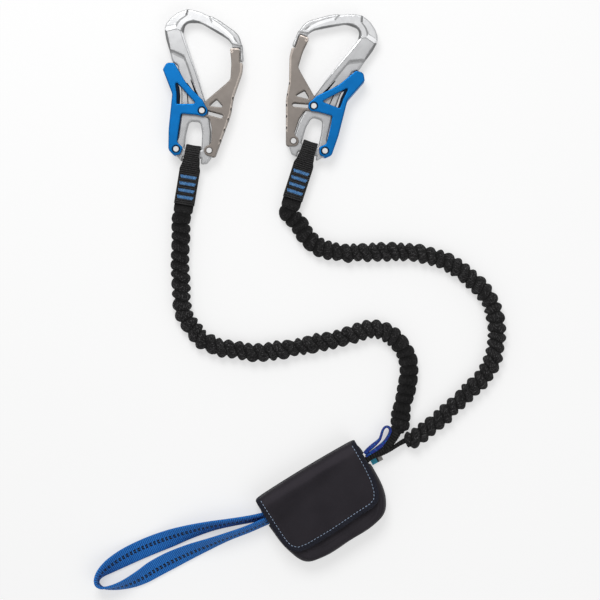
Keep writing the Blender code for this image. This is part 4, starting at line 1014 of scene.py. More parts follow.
flapSizes = {
    "top": 0.0243, "edge": 0.0010, "bend": 0.0060, "down": 0.0175, "wall": 0.0014, "corner": 0.0085,
    "backCorner": 0.0090, "backLeft": -0.0546, "backRight": 0.0527, "halfWidth": 0.056, "crown": 0.0012,
    "spacing": 0.0011, "rings": 48, "heart": (-0.002, -0.012), "boundRings": 8,
    # relief out of the cloth: rim, binding, groove of the seam, puffed panel, dip under the fold
    "rim": 0.0006, "rimWidth": 0.0010, "binding": 0.00022, "groove": 0.00042, "grooveWidth": 0.00045,
    "seam": 0.0044, "puff": 0.0009, "dip": 0.0016, "dipWidth": 0.0042, "ripple": 0.00016, "buckle": 0.00022,
    # depths over which binding, fullness, dip, ripple and buckle come and go
    "boundFrom": (0.0004, 0.0012), "boundTo": (0.0032, 0.0042), "fullAt": 0.016, "dipFrom": (0.002, 0.010),
    "rippleFrom": (0.006, 0.014), "buckleTo": (0.003, 0.010),
    "stitch": 0.0018, "stitchPitch": 0.0033, "thread": 0.00032, "stitchRise": 0.00030, "stitchDive": 0.00008,
    "sewnTo": 0.0045, "hingeLow": 0.0055, "hingeHigh": 0.0095,
    # tones: of the plain cloth, painted light added on the fold, painted shade taken off in a diagonal band,
    # and of the slack
    "plainTone": 0.72, "wornTone": 0.62, "wornWidth": 0.0035, "shadeTone": 0.42, "shadeWidth": 0.0050,
    "slackTone": 0.05,
}
flapCorners = [
    (-0.0544, -0.0060), (-0.0541, -0.0190), (-0.0536, -0.0361), (-0.0528, -0.0473),
    (-0.0504, -0.0546), (-0.0440, -0.0600), (-0.0340, -0.0616), (-0.0084, -0.0618), (0.0226, -0.0604),
    (0.0357, -0.0600), (0.0432, -0.0572), (0.0476, -0.0500), (0.0508, -0.0392), (0.0521, -0.0259),
    (0.0526, -0.0127), (0.0527, -0.0060)]
# rings close together over the rim, the binding and the seam: how far in from the outline
flapRims = [0, 0.0002, 0.0005, 0.0010, 0.0016, 0.0024, 0.0032, 0.0037, 0.0041, 0.0044, 0.0047, 0.0051, 0.0058,
            0.0068]


def overEdge(flat, out):
    # the flat panel u, s rolled over the top edge: level for s < 0, then a quarter turn of the bend
    # radius, then straight down; out is the distance out of the cloth
    size = flapSizes
    u, s = flat[..., 0], flat[..., 1]
    quarter = size["bend"] * pi / 2
    turn = np.clip(s / size["bend"], 0, pi / 2)
    radius = size["bend"] + out
    crown = size["crown"] * (1 - (u / size["halfWidth"]) ** 2)
    v = size["edge"] - size["bend"] + np.minimum(s, 0) + (radius + crown) * np.sin(turn)
    w = size["top"] - size["bend"] + radius * np.cos(turn) - np.maximum(s - quarter, 0)
    return inPouch(np.stack([u, v, w], axis=-1))


def flapRelief(u, s, depth):
    # rounded rim, raised binding, groove under the stitches, then the panel's own slack fullness
    size = flapSizes
    rim = -size["rim"] * (1 - np.sqrt(np.maximum(1 - (1 - np.clip(depth / size["rimWidth"], 0, 1)) ** 2, 0)))
    binding = size["binding"] * ease(depth, *size["boundFrom"]) * (1 - ease(depth, *size["boundTo"]))
    groove = -size["groove"] * hump(depth, size["seam"], size["grooveWidth"])
    puff = size["puff"] * ease(depth, size["seam"], size["fullAt"]) * (1 - 0.6 * ease(s, -0.004, 0.004))
    dip = -size["dip"] * hump(s - 0.10 * u, -0.0085, size["dipWidth"]) * (1 - ease(u, 0.0, 0.050))
    dip = dip * ease(depth, *size["dipFrom"])
    ripple = size["ripple"] * creased(u, s) * ease(depth, *size["rippleFrom"])
    buckle = size["buckle"] * np.sin(u * 230 + 0.6) * (1 - ease(depth, *size["buckleTo"]))
    return rim + binding + groove + puff + dip + ripple + buckle * (1 - ease(s, -0.012, 0.0))


def flapStitches(line):
    # short threads along the seam line, each a half sine of stitchRise that dives into the cloth at its ends
    size = flapSizes
    sewn = np.vstack([line, line[:1]])
    stretch = travelled(sewn)
    places = np.arange(0.002, stretch[-1] - 0.002, size["stitchPitch"])
    threads = []
    for start in places[np.interp(places, stretch, sewn[:, 1]) < size["sewnTo"]]:
        steps = start + np.linspace(0, size["stitch"], 7)
        spots = np.column_stack([np.interp(steps, stretch, sewn[:, axis]) for axis in (0, 1)])
        rise = size["stitchRise"] * np.sin(np.linspace(0, pi, 7)) ** 0.5 - size["stitchDive"]
        out = flapRelief(spots[:, 0], spots[:, 1], size["seam"]) + rise
        threads.append(threadPart(overEdge(spots, out), size["thread"]))
    stitches = meshFrom("flapStitches", threads, "pale_thread", body="flap")
    print(len(threads), "stitches")
    return stitches


def pouchFlap():
    # rings of the flat outline, close together near the rim, then shrinking to the heart; each point is
    # lifted by the relief and rolled over the pouch's edge; the mark is painted light on the fold and painted
    # shade in a diagonal band
    size = flapSizes
    back = size["bend"] * pi / 2 + size["down"]
    lift = size["bend"] - size["edge"]
    corners = [(u, v + lift, size["corner"]) for u, v in flapCorners]
    left, right = [(size[key], back, size["backCorner"]) for key in ("backLeft", "backRight")]
    loop = roundedLoop([left, *corners, right], size["spacing"])
    inward = inwardOf(loop)
    for _ in range(3):
        inward = unit((np.roll(inward, 1, axis=0) + inward + nextOf(inward)) / 3)
    near = np.array(flapRims)
    heart = np.array(size["heart"])
    inner = loop + inward * near[-1]
    shrink = np.linspace(1, 0.012, size["rings"])[1:]
    rings = np.concatenate([loop[None] + inward[None] * near[:, None, None],
                            heart + (inner - heart)[None] * shrink[:, None, None]])
    u, s = rings[:, :, 0], rings[:, :, 1]
    depth = toLoop(rings.reshape(-1, 2), loop).reshape(u.shape)
    part = gridPart(overEdge(rings, flapRelief(u, s, depth)), around=True, uv=closedMap(rings), capped=(-1,))
    foldLight = size["wornTone"] * hump(s, 0.0005, size["wornWidth"])
    shade = size["shadeTone"] * hump(s - 0.16 * u, -0.0105, size["shadeWidth"]) * (1 - ease(u, 0.005, 0.045))
    marks = size["plainTone"] + foldLight - shade + size["slackTone"] * creased(u * 0.6, s * 0.6)
    marks = np.append(marks, marks[-1].mean())
    flapPiece = meshFrom("pouchFlap", [part], "flap_fabric", body=None, marks=marks)
    flapPiece.data.materials.append(finishes["flap_binding"])
    bound = (np.arange(len(part[2])) < size["boundRings"] * len(loop)).astype(np.int32)
    flapPiece.data.polygons.foreach_set("material_index", bound)
    wall = flapPiece.modifiers.new("wall", "SOLIDIFY")
    wall.thickness, wall.offset = size["wall"], -1
    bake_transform(flapPiece)
    standsFor(flapPiece, "pouch_flap")
    stitches = flapStitches(loop + inward * size["seam"])


pouchFlap()


# touch fastener: one strip on the pouch, one under the flap

stripSizes = {"halfLength": 0.0300, "halfWidth": 0.0090, "thick": 0.0006, "place": -0.0450, "corner": 0.0020,
              "halfMiddle": 0.0215, "round": 0.0003, "rims": (0.0, 0.00012, 0.0003, 0.0006, 0.0012),
              "rings": 8}


def touchStrip(name, node, level, body):
    # rounded rectangle in rings that shrink to its middle line, domed at the rim, face up and face down
    size = stripSizes
    corners = [(x * size["halfLength"], y * size["halfWidth"] + size["place"], size["corner"])
               for x, y in ((1, 1), (-1, 1), (-1, -1), (1, -1))]
    loop = roundedLoop(corners, 0.0010)
    inward = inwardOf(loop)
    depths = np.array(size["rims"])
    inner = loop + inward * depths[-1]
    core = np.clip(inner[:, 0], -size["halfMiddle"], size["halfMiddle"])
    middle = np.column_stack([core, np.full(len(core), size["place"])])
    share = np.linspace(0, 1, size["rings"] + 1)[1:, None, None]
    flat = np.concatenate([loop[None] + inward[None] * depths[:, None, None],
                           inner + (middle - inner)[None] * share])
    rim = np.sqrt(1 - (1 - np.clip(depths / size["round"], 0, 1)) ** 2)
    height = size["thick"] / 2 * np.concatenate([rim, np.ones(size["rings"])])
    flat = np.concatenate([flat[::-1], flat[1:]])
    height = np.concatenate([-height[::-1], height[1:]])
    grid = np.dstack([flat, np.broadcast_to((level + height)[:, None], flat.shape[:2])])
    part = gridPart(inPouch(grid), around=True, caps=False, uv=closedMap(flat))
    standsFor(meshFrom(name, [part], "touch_tape", body=body), node)


touchStrip("loopStrip", "pouch_loop_strip", 0.0210, "lanyard")
touchStrip("hookStrip", "flap_hook_strip", 0.0219, "flap")


# tear webbing: folded to and fro inside the pouch, from the tie-in loop's end to the neck

tearSizes = {"thick": 0.0021, "halfHeight": 0.0078, "level": 0.0099, "start": (-0.0522, -0.0186),
             "pitch": 0.0034, "runs": 11, "left": -0.0440, "right": 0.0420, "riser": 0.0485,
             "riserTop": -0.0203, "rows": 1500, "columns": 13, "ribPitch": 0.0016, "ribDepth": 0.00006}


def tearWebbing():
    # straight runs joined by half circles of half the pitch; the band stands on edge, lean = pi / 2
    size = tearSizes
    spots = [size["start"]]
    bow = np.radians(np.linspace(90, -90, 13))
    half = size["pitch"] / 2
    for run in range(size["runs"] - 1):
        level = size["start"][1] - size["pitch"] * run
        heading = 1 if run % 2 == 0 else -1
        turnAt = size["right"] if heading > 0 else size["left"]
        spots += list(zip(turnAt + heading * half * np.cos(bow), level - half + half * np.sin(bow)))
    last = size["start"][1] - size["pitch"] * (size["runs"] - 1)
    spots += [(size["riser"] - 0.0022, last), (size["riser"] - 0.0006, last + 0.0007),
              (size["riser"], last + 0.0024), (size["riser"], size["riserTop"])]
    path = evenly(np.column_stack([np.array(spots), np.full(len(spots), size["level"])]), size["rows"])
    path = inPouch(softened(path, 2))
    part = bandPart(path, size["halfHeight"], size["thick"], *axesAlong(path, pi / 2), size["ribPitch"],
                    size["ribDepth"], size["columns"])
    standsFor(meshFrom("tearWebbing", [part], "tear_fabric"), "tear_webbing")


tearWebbing()
print("pouch made")


# carabiners: forged body, folded gate and palm lever, in the carabiner's own frame

reachMm = 133                   # bar to the top of the hook, in mm; most places are shares of it
reach = reachMm / 1000
leverPivot, gatePivot, camPlace = [np.array(spot) * reach
                                   for spot in ((-0.114, 0.017), (0.116, 0.030), (0.039, 0.301))]


def onCarabiner(points, side):
    # own frame to the floor: the right one is turned over, x to -x and z to -z, then both are turned
    way = places[side]
    flipped = points * np.array([way["flip"], 1, way["flip"]])
    return placed(flipped, (*(np.array(way["bar"]) + shift[:2]), barLevel), way["turn"])


def arcPoints(centre, radius, start, stop, count=9):
    # sharp corners on a circle, from one angle in degrees to another
    angles = np.radians(np.linspace(start, stop, count))
    return [(centre[0] + radius * np.cos(a), centre[1] + radius * np.sin(a), 0) for a in angles]


def roundHole(centre, radius):
    return roundedLoop(arcPoints(centre, radius, 360, 15, 24), 0.0005)


def ofReach(shares, unitLength=reach):
    return [tuple(share * unitLength for share in corner) for corner in shares]


plateSizes = {"rims": (0.1, 0.3, 0.6, 1.0), "fill": 0.0011, "border": 0.0006, "clear": 0.00032, "slope": 0.3,
              "fadeOut": 0.0010, "wallTone": 0.72}


def platePoints(loops, regions, edge, solid, toRim):
    # rows of points along the rim, an even fill and the borders of the regions; the outline, the holes and
    # the borders are also edges that the triangles keep
    size = plateSizes
    starts = np.vstack(loops)
    offset = np.cumsum([0] + [len(loop) for loop in loops])
    edges = [np.column_stack([np.arange(len(loop)), nextOf(np.arange(len(loop)))]) + start
             for loop, start in zip(loops, offset)]
    rims = np.vstack([loop + inwardOf(loop) * (1 if loop is loops[0] else -1) * depth * edge
                      for loop in loops for depth in size["rims"]])
    rims = rims[solid(rims) & (toRim(rims) > 0.08 * edge)]
    low, high = loops[0].min(axis=0), loops[0].max(axis=0)
    x, y = np.meshgrid(np.arange(low[0], high[0], size["fill"]), np.arange(low[1], high[1], size["fill"]))
    x[::2] += size["fill"] / 2
    fill = np.column_stack([x.ravel(), y.ravel()])
    fill = fill[solid(fill)]
    near = np.vstack([rims, fill[toRim(fill) > edge * 1.25]])
    borders = [np.empty((0, 2))]
    for region in regions:
        line = region["line"]
        inner = line + inwardOf(line) * region.get("slope", size["slope"]) * 0.001
        for row in (line, inner) if region.get("drop") and "bevel" not in region else (line,):
            kept = solid(row) & (toRim(row) > 0.0001)
            number = np.cumsum(kept) - 1 + sum(len(done) for done in borders) + len(starts)
            edges.append(np.column_stack([number, nextOf(number)])[kept & nextOf(kept)])
            borders.append(row[kept])
    borders = np.vstack(borders)
    if len(borders):
        gaps = [np.linalg.norm(some[:, None] - borders[None], axis=2).min(axis=1)
                for some in np.array_split(near, 12)]
        near = near[np.concatenate(gaps) > size["clear"]]
    return np.vstack([starts, borders, near]), np.vstack(edges)


def plateTriangles(cloud, edges, solid):
    # Delaunay triangles that keep the edges, only in the metal, all turned anticlockwise
    cloud = [Vector(spot) for spot in cloud.tolist()]
    spots, _, faces = delaunay_2d_cdt(cloud, edges.tolist(), [], 0, 1e-7)[:3]
    spots = np.array([tuple(spot) for spot in spots])
    faces = np.array([tuple(face) for face in faces if len(face) == 3])
    faces = faces[solid(spots[faces].mean(axis=1))]
    a, b, c = [spots[faces[:, k]] for k in range(3)]
    area = (b[:, 0] - a[:, 0]) * (c[:, 1] - a[:, 1]) - (b[:, 1] - a[:, 1]) * (c[:, 0] - a[:, 0])
    faces, area = faces[np.abs(area) > 1e-12], area[np.abs(area) > 1e-12]
    faces[area < 0] = faces[area < 0][:, ::-1]
    used, faces = np.unique(faces, return_inverse=True)
    return spots[used], faces.reshape(-1, 3)


def regionDrop(region, spots, depth):
    # the drop times a share: over a bevel 1 at the rim and 0 at the bevel's width, fading out towards the
    # region's border, else the distance from that border as a share of the slope
    inside, toBorder = within(spots, region["line"]), toLoop(spots, region["line"])
    if "bevel" in region:
        share = 1 - np.clip(depth / (region["bevel"] * 0.001), 0, 1)
        share = share * inside * np.clip(toBorder / plateSizes["fadeOut"], 0, 1)
    else:
        share = inside * np.clip(toBorder / (region.get("slope", plateSizes["slope"]) * 0.001), 0, 1)
    return region["drop"] * 0.001 * share


def paintedRegionShading(region, spots, depth):
    # painted light and shade, from the first tone to the last: inwards from the rim over a bevel, else down
    # the region
    line = region["line"]
    first, last = region["tone"] if isinstance(region["tone"], tuple) else (region["tone"],) * 2
    if "bevel" in region:
        share = np.clip(depth / (region["bevel"] * 0.001), 0, 1) ** region.get("fade", 1)
        share = np.maximum(share, 1 - toLoop(spots, line) / plateSizes["fadeOut"])
    else:
        share = np.clip((line[:, 1].max() - spots[:, 1]) / np.ptp(line[:, 1]), 0, 1)
    return first + (last - first) * share


def platePart(outline, holes, low, high, edge, regions=(), tone=1.0):
    # a plate cut to the outline; its height is high less the rounding of the rim,
    # edge * (1 - sqrt(1 - (1 - d / edge) ^ 2)), less what each region drops; the other face is the same
    # turned over; the tone of a face, its painted light and shade, is that of the last region that it lies in
    loops = [anticlockwise(loop) for loop in (outline, *holes)]
    starts, ends = np.vstack(loops), np.vstack([nextOf(loop) for loop in loops])
    toRim = lambda spots: toLines(spots, starts, ends)
    solid = lambda spots: within(spots, loops[0]) & ~np.any(
        [np.zeros(len(spots), bool), *[within(spots, hole) for hole in loops[1:]]], axis=0)
    for region in regions:
        area = np.array(region["area"]) * 0.001
        region["line"] = anticlockwise(closedEvenly(area, plateSizes["border"], 2))
    spots, faces = plateTriangles(*platePoints(loops, regions, edge, solid, toRim), solid)
    depth = toRim(spots)
    rounding = 1 - np.clip(depth / edge, 0, 1)
    height = high - edge * (1 - np.sqrt(np.maximum(1 - rounding ** 2, 0)))
    hearts = spots[faces].mean(axis=1)
    even = np.isscalar(tone)
    tones = np.full((len(faces), 3), tone) if even else tone(spots)[faces]
    for region in regions:
        if region.get("drop"):
            height = height - regionDrop(region, spots, depth)
        if "tone" in region:
            inside = within(hearts, region["line"])
            tones[inside] = paintedRegionShading(region, spots, depth)[faces][inside]
    points = np.vstack([np.column_stack([spots, height]), np.column_stack([spots, (low + high) - height])])
    # walls stand on the sides that no second triangle shares
    count = len(spots)
    sides = np.vstack([faces[:, [0, 1]], faces[:, [1, 2]], faces[:, [2, 0]]]).astype(np.int64)
    rim = sides[~np.isin(sides[:, 0] * count + sides[:, 1], sides[:, 1] * count + sides[:, 0])]
    walls = np.column_stack([rim[:, 0] + count, rim[:, 1] + count, rim[:, 1], rim[:, 0]])
    corners = np.concatenate([faces.ravel(), (faces[:, ::-1] + count).ravel(), walls.ravel()])
    sizes = np.concatenate([np.full(2 * len(faces), 3), np.full(len(walls), 4)])
    # the walls get painted shade: 0.9 of an even tone, else the plates' painted wall shade
    paintedWallShades = np.full(4 * len(walls), tone * 0.9 if even else plateSizes["wallTone"])
    marks = np.concatenate([tones.ravel(), tones[:, ::-1].ravel(), paintedWallShades])
    return points, corners, sizes, points[corners][:, :2], marks


def turnedOver(part):
    # the same plate below the middle plane: z to -z, every face read the other way round
    return (part[0] * np.array([1, 1, -1]), *[values[::-1] for values in part[1:]])


def webPart(corners, inner, tone):
    # the folded edge that joins two cheeks, let a little into both
    lap, edge = 0.0003, 0.0002
    return platePart(roundedLoop(ofReach(corners)), [], -inner - lap, inner + lap, edge, tone=tone)


def finePiece(name, node, side, parts, finish, body):
    # the plates of one piece, set on the carabiner's place, with the painted light and shade of each corner
    # as its mark
    marks = np.concatenate([part[4] for part in parts])
    item = meshFrom(name, [(onCarabiner(part[0], side), *part[1:4]) for part in parts], finish, body=body,
                    marks=marks, sharp=radians(32))
    standsFor(item, node)


bodySizes = {"half": 0.0042, "edge": 0.0013, "lug": 0.0046, "lugFace": 0.067, "barHalf": 0.0286,
             "lugDepth": 0.070, "lugCorner": 0.0010, "rivetHole": 0.0022}
# outline corners, x, y and radius as shares of the reach: spine and hook, the gate's lug, the inner side
bodyLeft = [
    (0.270, 0.671, 0.005), (0.293, 0.673, 0.010), (0.291, 0.699, 0.030), (0.283, 0.737, 0.030),
    (0.279, 0.776, 0.030), (0.270, 0.790, 0.030), (0.256, 0.828, 0.040), (0.239, 0.856, 0.040),
    (0.207, 0.882, 0.040), (0.155, 0.911, 0.050), (0.103, 0.941, 0.050), (0.051, 0.963, 0.050),
    (0.011, 0.969, 0.030), (-0.025, 0.985, 0.030), (-0.076, 0.995, 0.050), (-0.128, 1.000, 0.030),
    (-0.149, 0.993, 0.030), (-0.196, 0.971, 0.050), (-0.242, 0.929, 0.040), (-0.268, 0.890, 0.030),
    (-0.277, 0.864, 0.030), (-0.277, 0.839, 0.030), (-0.261, 0.777, 0.050), (-0.242, 0.730, 0.050),
    (-0.226, 0.692, 0.050), (-0.209, 0.640, 0.020), (-0.199, 0.623, 0.010), (-0.162, 0.600, 0.015),
    (-0.119, 0.427, 0.075), (-0.103, 0.262, 0.060), (-0.108, 0.103, 0.030)]
bodyRight = [(0.108, -0.062, 0.020), (0.133, -0.022, 0.030)]
bodyInner = [
    (0.118, 0.077, 0.020), (0.114, 0.162, 0.075), (0.092, 0.260, 0.030), (0.072, 0.279, 0.015),
    (0.076, 0.317, 0.045), (-0.012, 0.543, 0.301), (-0.143, 0.828, 0.060), (-0.138, 0.903, 0.068),
    (-0.033, 0.914, 0.105), (0.173, 0.816, 0.105), (0.205, 0.780, 0.023), (0.205, 0.757, 0.005),
    (0.261, 0.763, 0.005)]
eyeCorners = [
    (-0.0605, 0.0286, 0.008), (-0.0575, 0.127, 0.060), (-0.044, 0.222, 0.030), (0.034, 0.225, 0.030),
    (0.0555, 0.147, 0.045), (0.0605, 0.0286, 0.008)]
# milled faces, in mm: area, how far they drop over which slope, or bevel width along the rim, and tone,
# the painted light and shade on them: highlights on steps and bevels turned to the light, shade on the
# others and in the grooves
bodyFaces = [
    {"area": [(-41.5, 113.7), (-44, 120.5), (-34.3, 137.5), (-17.0, 139.1), (-16.7, 133.4),
     (-18.2, 126.5), (-22.8, 123.1), (-25.6, 119.9), (-26.9, 117.2)], "drop": 0.5, "slope": 0.6,
     "tone": (1.0, 0.95)},
    {"area": [(-27.1, 115.4), (-25.7, 115.6), (-24.9, 118.4), (-22.7, 121.7), (-20.3, 124.0),
     (-18.2, 125.6), (-18.5, 126.5), (-20.8, 125.0), (-23.7, 122.5), (-26.2, 118.9)], "tone": 0.42},
    {"area": [(-35.6, 110.4), (-38.5, 83.6), (-20.2, 39.7), (-0.8, 41.6), (7.6, 47.0), (4.2, 55.6),
     (0.3, 64.6), (-3.7, 73.4), (-8.0, 82.4), (-12.2, 91.1), (-17.3, 101.6), (-20.2, 107.9),
     (-22.0, 112.7), (-26.0, 113.9), (-34.2, 110.8)], "drop": 0.7, "slope": 0.5, "tone": (0.8, 0.7)},
    {"area": [(-41.4, 109.5), (-41.4, 112.6), (-37.1, 113.6), (-26.9, 117.2), (-26.0, 113.9),
     (-34.2, 110.8)], "tone": 1.25},
    {"area": [(-39.3, 91.0), (-31.1, 93.7), (-29.4, 94.3), (-31.8, 103.0), (-34.5, 110.6),
     (-36.4, 111.5), (-41.2, 110.9)], "drop": 0.8, "bevel": 2.0, "tone": (0.28, 0.5)},
    {"area": [(-22.0, 112.7), (-20.2, 107.9), (-17.3, 101.6), (-12.2, 91.1), (-8.0, 82.4), (-3.7, 73.4),
     (0.3, 64.6), (4.2, 55.6), (7.6, 47.0), (12.1, 43.8), (7.4, 53.6), (-0.9, 74.0), (-9.3, 90.8),
     (-16.4, 105.4), (-18.3, 112.7)], "drop": 0.3, "bevel": 2.6, "tone": (1.5, 1.35)},
    {"area": [(-39.6, 94.7), (-36.7, 65.1), (-19.9, 36.9), (1.3, 39.0), (1.5, 46.5), (-0.6, 53.7),
     (-4.6, 64.5), (-7.4, 71.3), (-10.4, 78.0), (-13.6, 84.7), (-16.3, 89.7), (-23.0, 92.4),
     (-30.8, 94.7)], "drop": 0.5, "slope": 1.2, "tone": (0.76, 0.8)},
    {"area": [(-39.7, 95.2), (-39.3, 91.0), (-29.1, 90.9), (-23.1, 88.4), (-16.9, 86.2), (-16.3, 89.7),
     (-23.0, 92.4), (-30.8, 94.7)], "tone": 0.5},
    {"area": [(-16.3, 89.7), (-16.9, 86.2), (-14.9, 83.9), (-11.9, 77.2), (-8.9, 70.7), (-6.0, 64.0),
     (-4.6, 64.5), (-7.4, 71.3), (-10.4, 78.0), (-13.6, 84.7)], "tone": 0.55},
    {"area": [(14.3, 121.3), (21.3, 116.8), (26.8, 112.5), (30.7, 107.6), (31.5, 105.5), (38.9, 104.3),
     (42.0, 119.6), (21.7, 138.3), (2.3, 134.4), (7.3, 125.1)], "drop": 0.6, "slope": 0.5,
     "tone": (0.8, 0.72)},
    {"area": [(6.2, 125.1), (7.1, 121.9), (13.2, 118.6), (20.1, 114.1), (25.2, 109.9), (27.8, 107.0),
     (29.4, 107.1), (27.0, 111.1), (20.8, 116.7), (13.8, 121.3)], "tone": 1.25},
    {"area": [(27.1, 111.4), (28.5, 108.5), (30.6, 106.5), (31.7, 107.2), (29.3, 109.9)], "tone": 0.42},
    {"area": [(-21.9, 111.9), (-16.7, 108.2), (-16.2, 112.9), (-11.8, 116.2), (-1.5, 115.3),
     (9.3, 110.8), (23.1, 102.8), (26.9, 102.4), (28.1, 103.8), (26.7, 106.3), (23.4, 109.7),
     (16.4, 113.7), (7.6, 117.7), (-1.1, 121.3), (-5.9, 122.9), (-10.7, 123.4), (-14.3, 122.6),
     (-17.4, 121.0), (-20.1, 118.2), (-21.5, 115.2)], "drop": 1.5, "bevel": 3.4, "fade": 1.7,
     "tone": (0.3, 0.86)},
    {"area": [(27.1, 104.0), (27.5, 96.7), (41.3, 97.0), (38.7, 103.1)], "drop": 0.5, "slope": 0.4,
     "tone": 0.74},
    {"area": [(27.0, 105.3), (27.1, 104.0), (38.5, 103.1), (38.4, 104.4)], "tone": 0.42},
    {"area": [(-12.2, 64.2), (-11.2, 64.9), (-5.2, 58.2), (-6.0, 57.2)], "drop": 2.0, "slope": 0.3,
     "tone": 0.03},
    {"area": [(-8.5, 67.8), (-7.9, 68.2), (0.6, 53.8), (0.2, 50.0), (-1.8, 53.0)], "drop": 2.0,
     "slope": 0.3, "tone": 0.03},
    {"area": [(-10.7, 56.5), (-8.4, 41.7), (-7.4, 41.8), (-9.8, 56.6)], "drop": 1.0, "slope": 0.3,
     "tone": 0.05},
    {"area": [(-17.5, 135.1), (-19.1, 126.5), (-17.2, 126.2), (-15.6, 134.8)], "drop": 0.6,
     "slope": 0.3, "tone": 0.42},
    {"area": [(1.1, 130.8), (5.8, 122.1), (7.2, 122.8), (2.6, 131.5)], "drop": 0.5, "slope": 0.3,
     "tone": 0.62},
]


def paintedBodyShading(spots):
    # painted light over the hook, painted shade growing darker down to the eye
    return 0.74 + 0.22 * ease(spots[:, 1], 0.075, 0.112)


def bodyParts():
    # one forged plate: the outline runs up the spine, over the hook and back down its inner side
    size = bodySizes
    face, bar, lug = [size[key] * reach for key in ("lugFace", "barHalf", "lugDepth")]
    corner = size["lugCorner"]
    outline = roundedLoop(
        ofReach(bodyLeft) + arcPoints(leverPivot, size["lug"], 118, 235) + ofReach([(-0.096, -0.040, 0.012)])
        + [(-face, -lug, corner), (-face, -bar, corner / 2), (face, -bar, corner / 2), (face, -lug, corner)]
        + ofReach(bodyRight) + arcPoints(gatePivot, size["lug"], -45, 75) + ofReach(bodyInner))
    holes = [roundedLoop(ofReach(eyeCorners))]
    holes += [roundHole(pivot, size["rivetHole"]) for pivot in (leverPivot, gatePivot)]
    return [platePart(outline, holes, -size["half"], size["half"], size["edge"], bodyFaces, paintedBodyShading)]


gateSizes = {"inner": 0.0045, "outer": 0.0058, "edge": 0.0005, "boss": 0.0049, "lobe": 0.0048,
             "rivetHole": 0.0022, "slotHalf": 0.0020, "travel": radians(22), "leverTravel": radians(7),
             "overTravel": 0.03, "ringMm": 3.6}
gateOuter = [
    (0.191, 0.753, 0.008), (0.259, 0.760, 0.015), (0.268, 0.661, 0.004), (0.290, 0.660, 0.011),
    (0.291, 0.595, 0.150), (0.248, 0.417, 0.135), (0.240, 0.296, 0.150), (0.161, -0.008, 0.017),
    (0.140, -0.012, 0.010)]
gateLow = [(0.124, 0.088, 0.023), (0.117, 0.193, 0.060), (0.095, 0.255, 0.020)]
gateHigh = [(0.184, 0.503, 0.030), (0.215, 0.539, 0.038), (0.211, 0.655, 0.226)]
gateWindow = [(0.130, 0.395, 0.009), (0.078, 0.339, 0.009), (0.191, 0.337, 0.009)]
gateWeb = [
    (0.2575, 0.757, 0.005), (0.2665, 0.660, 0.003), (0.2885, 0.658, 0.008), (0.2895, 0.595, 0.150),
    (0.2465, 0.417, 0.135), (0.2385, 0.296, 0.150), (0.1600, -0.004, 0.008), (0.1430, -0.008, 0.008),
    (0.2220, 0.296, 0.150), (0.2300, 0.417, 0.135), (0.2740, 0.595, 0.150), (0.2740, 0.636, 0.010),
    (0.2520, 0.645, 0.008), (0.2440, 0.752, 0.005)]
# painted highlight stripe along the outer edge, and the grip dimples down it, each with painted shade in
# its hollow and a painted glint above it
gateHighlightStripe = [
    (0.31, 0.67), (0.31, 0.59), (0.27, 0.41), (0.26, 0.29), (0.20, 0.08), (0.172, 0.08), (0.227, 0.298),
    (0.236, 0.42), (0.277, 0.597), (0.272, 0.66)]
gateGrips = [(0.2560, 0.409), (0.2500, 0.331), (0.2370, 0.257), (0.2170, 0.181), (0.1965, 0.105)]
gripSizes = {"hollow": 1.8, "inset": 0.3, "glint": 0.9, "glintInset": 0.9, "glintRise": 2.1}     # mm
gateNose = {"place": (27.4, 97.6), "pin": 1.5, "pinHole": 0.75}                                    # mm


def circleArea(centre, radius, count=20):
    # a round region in mm round a place given in mm
    angle = np.linspace(0, 2 * pi, count, endpoint=False)
    return [(centre[0] + radius * np.cos(a), centre[1] + radius * np.sin(a)) for a in angle]


def pinInGate(share):
    # the cam pin turns with the lever and is then seen from the gate, which turns back by its own travel
    spin = lambda spot, angle: np.array([spot[0] * np.cos(angle) - spot[1] * np.sin(angle),
                                         spot[0] * np.sin(angle) + spot[1] * np.cos(angle)])
    place = leverPivot + spin(camPlace - leverPivot, -gateSizes["leverTravel"] * share)
    return gatePivot + spin(place - gatePivot, -gateSizes["travel"] * share)


def camSlot():
    # the slot follows the pin over the whole travel: a box round the line between both ends, fully rounded
    start, stop = pinInGate(-gateSizes["overTravel"]), pinInGate(1 + gateSizes["overTravel"])
    way = (stop - start) / np.linalg.norm(stop - start)
    side = np.array([-way[1], way[0]])
    half = gateSizes["slotHalf"]
    ends = ((start, -1, -1), (stop, 1, -1), (stop, 1, 1), (start, -1, 1))
    return roundedLoop([(*(spot + way * along * half + side * across * half), half * 0.98)
                        for spot, along, across in ends])


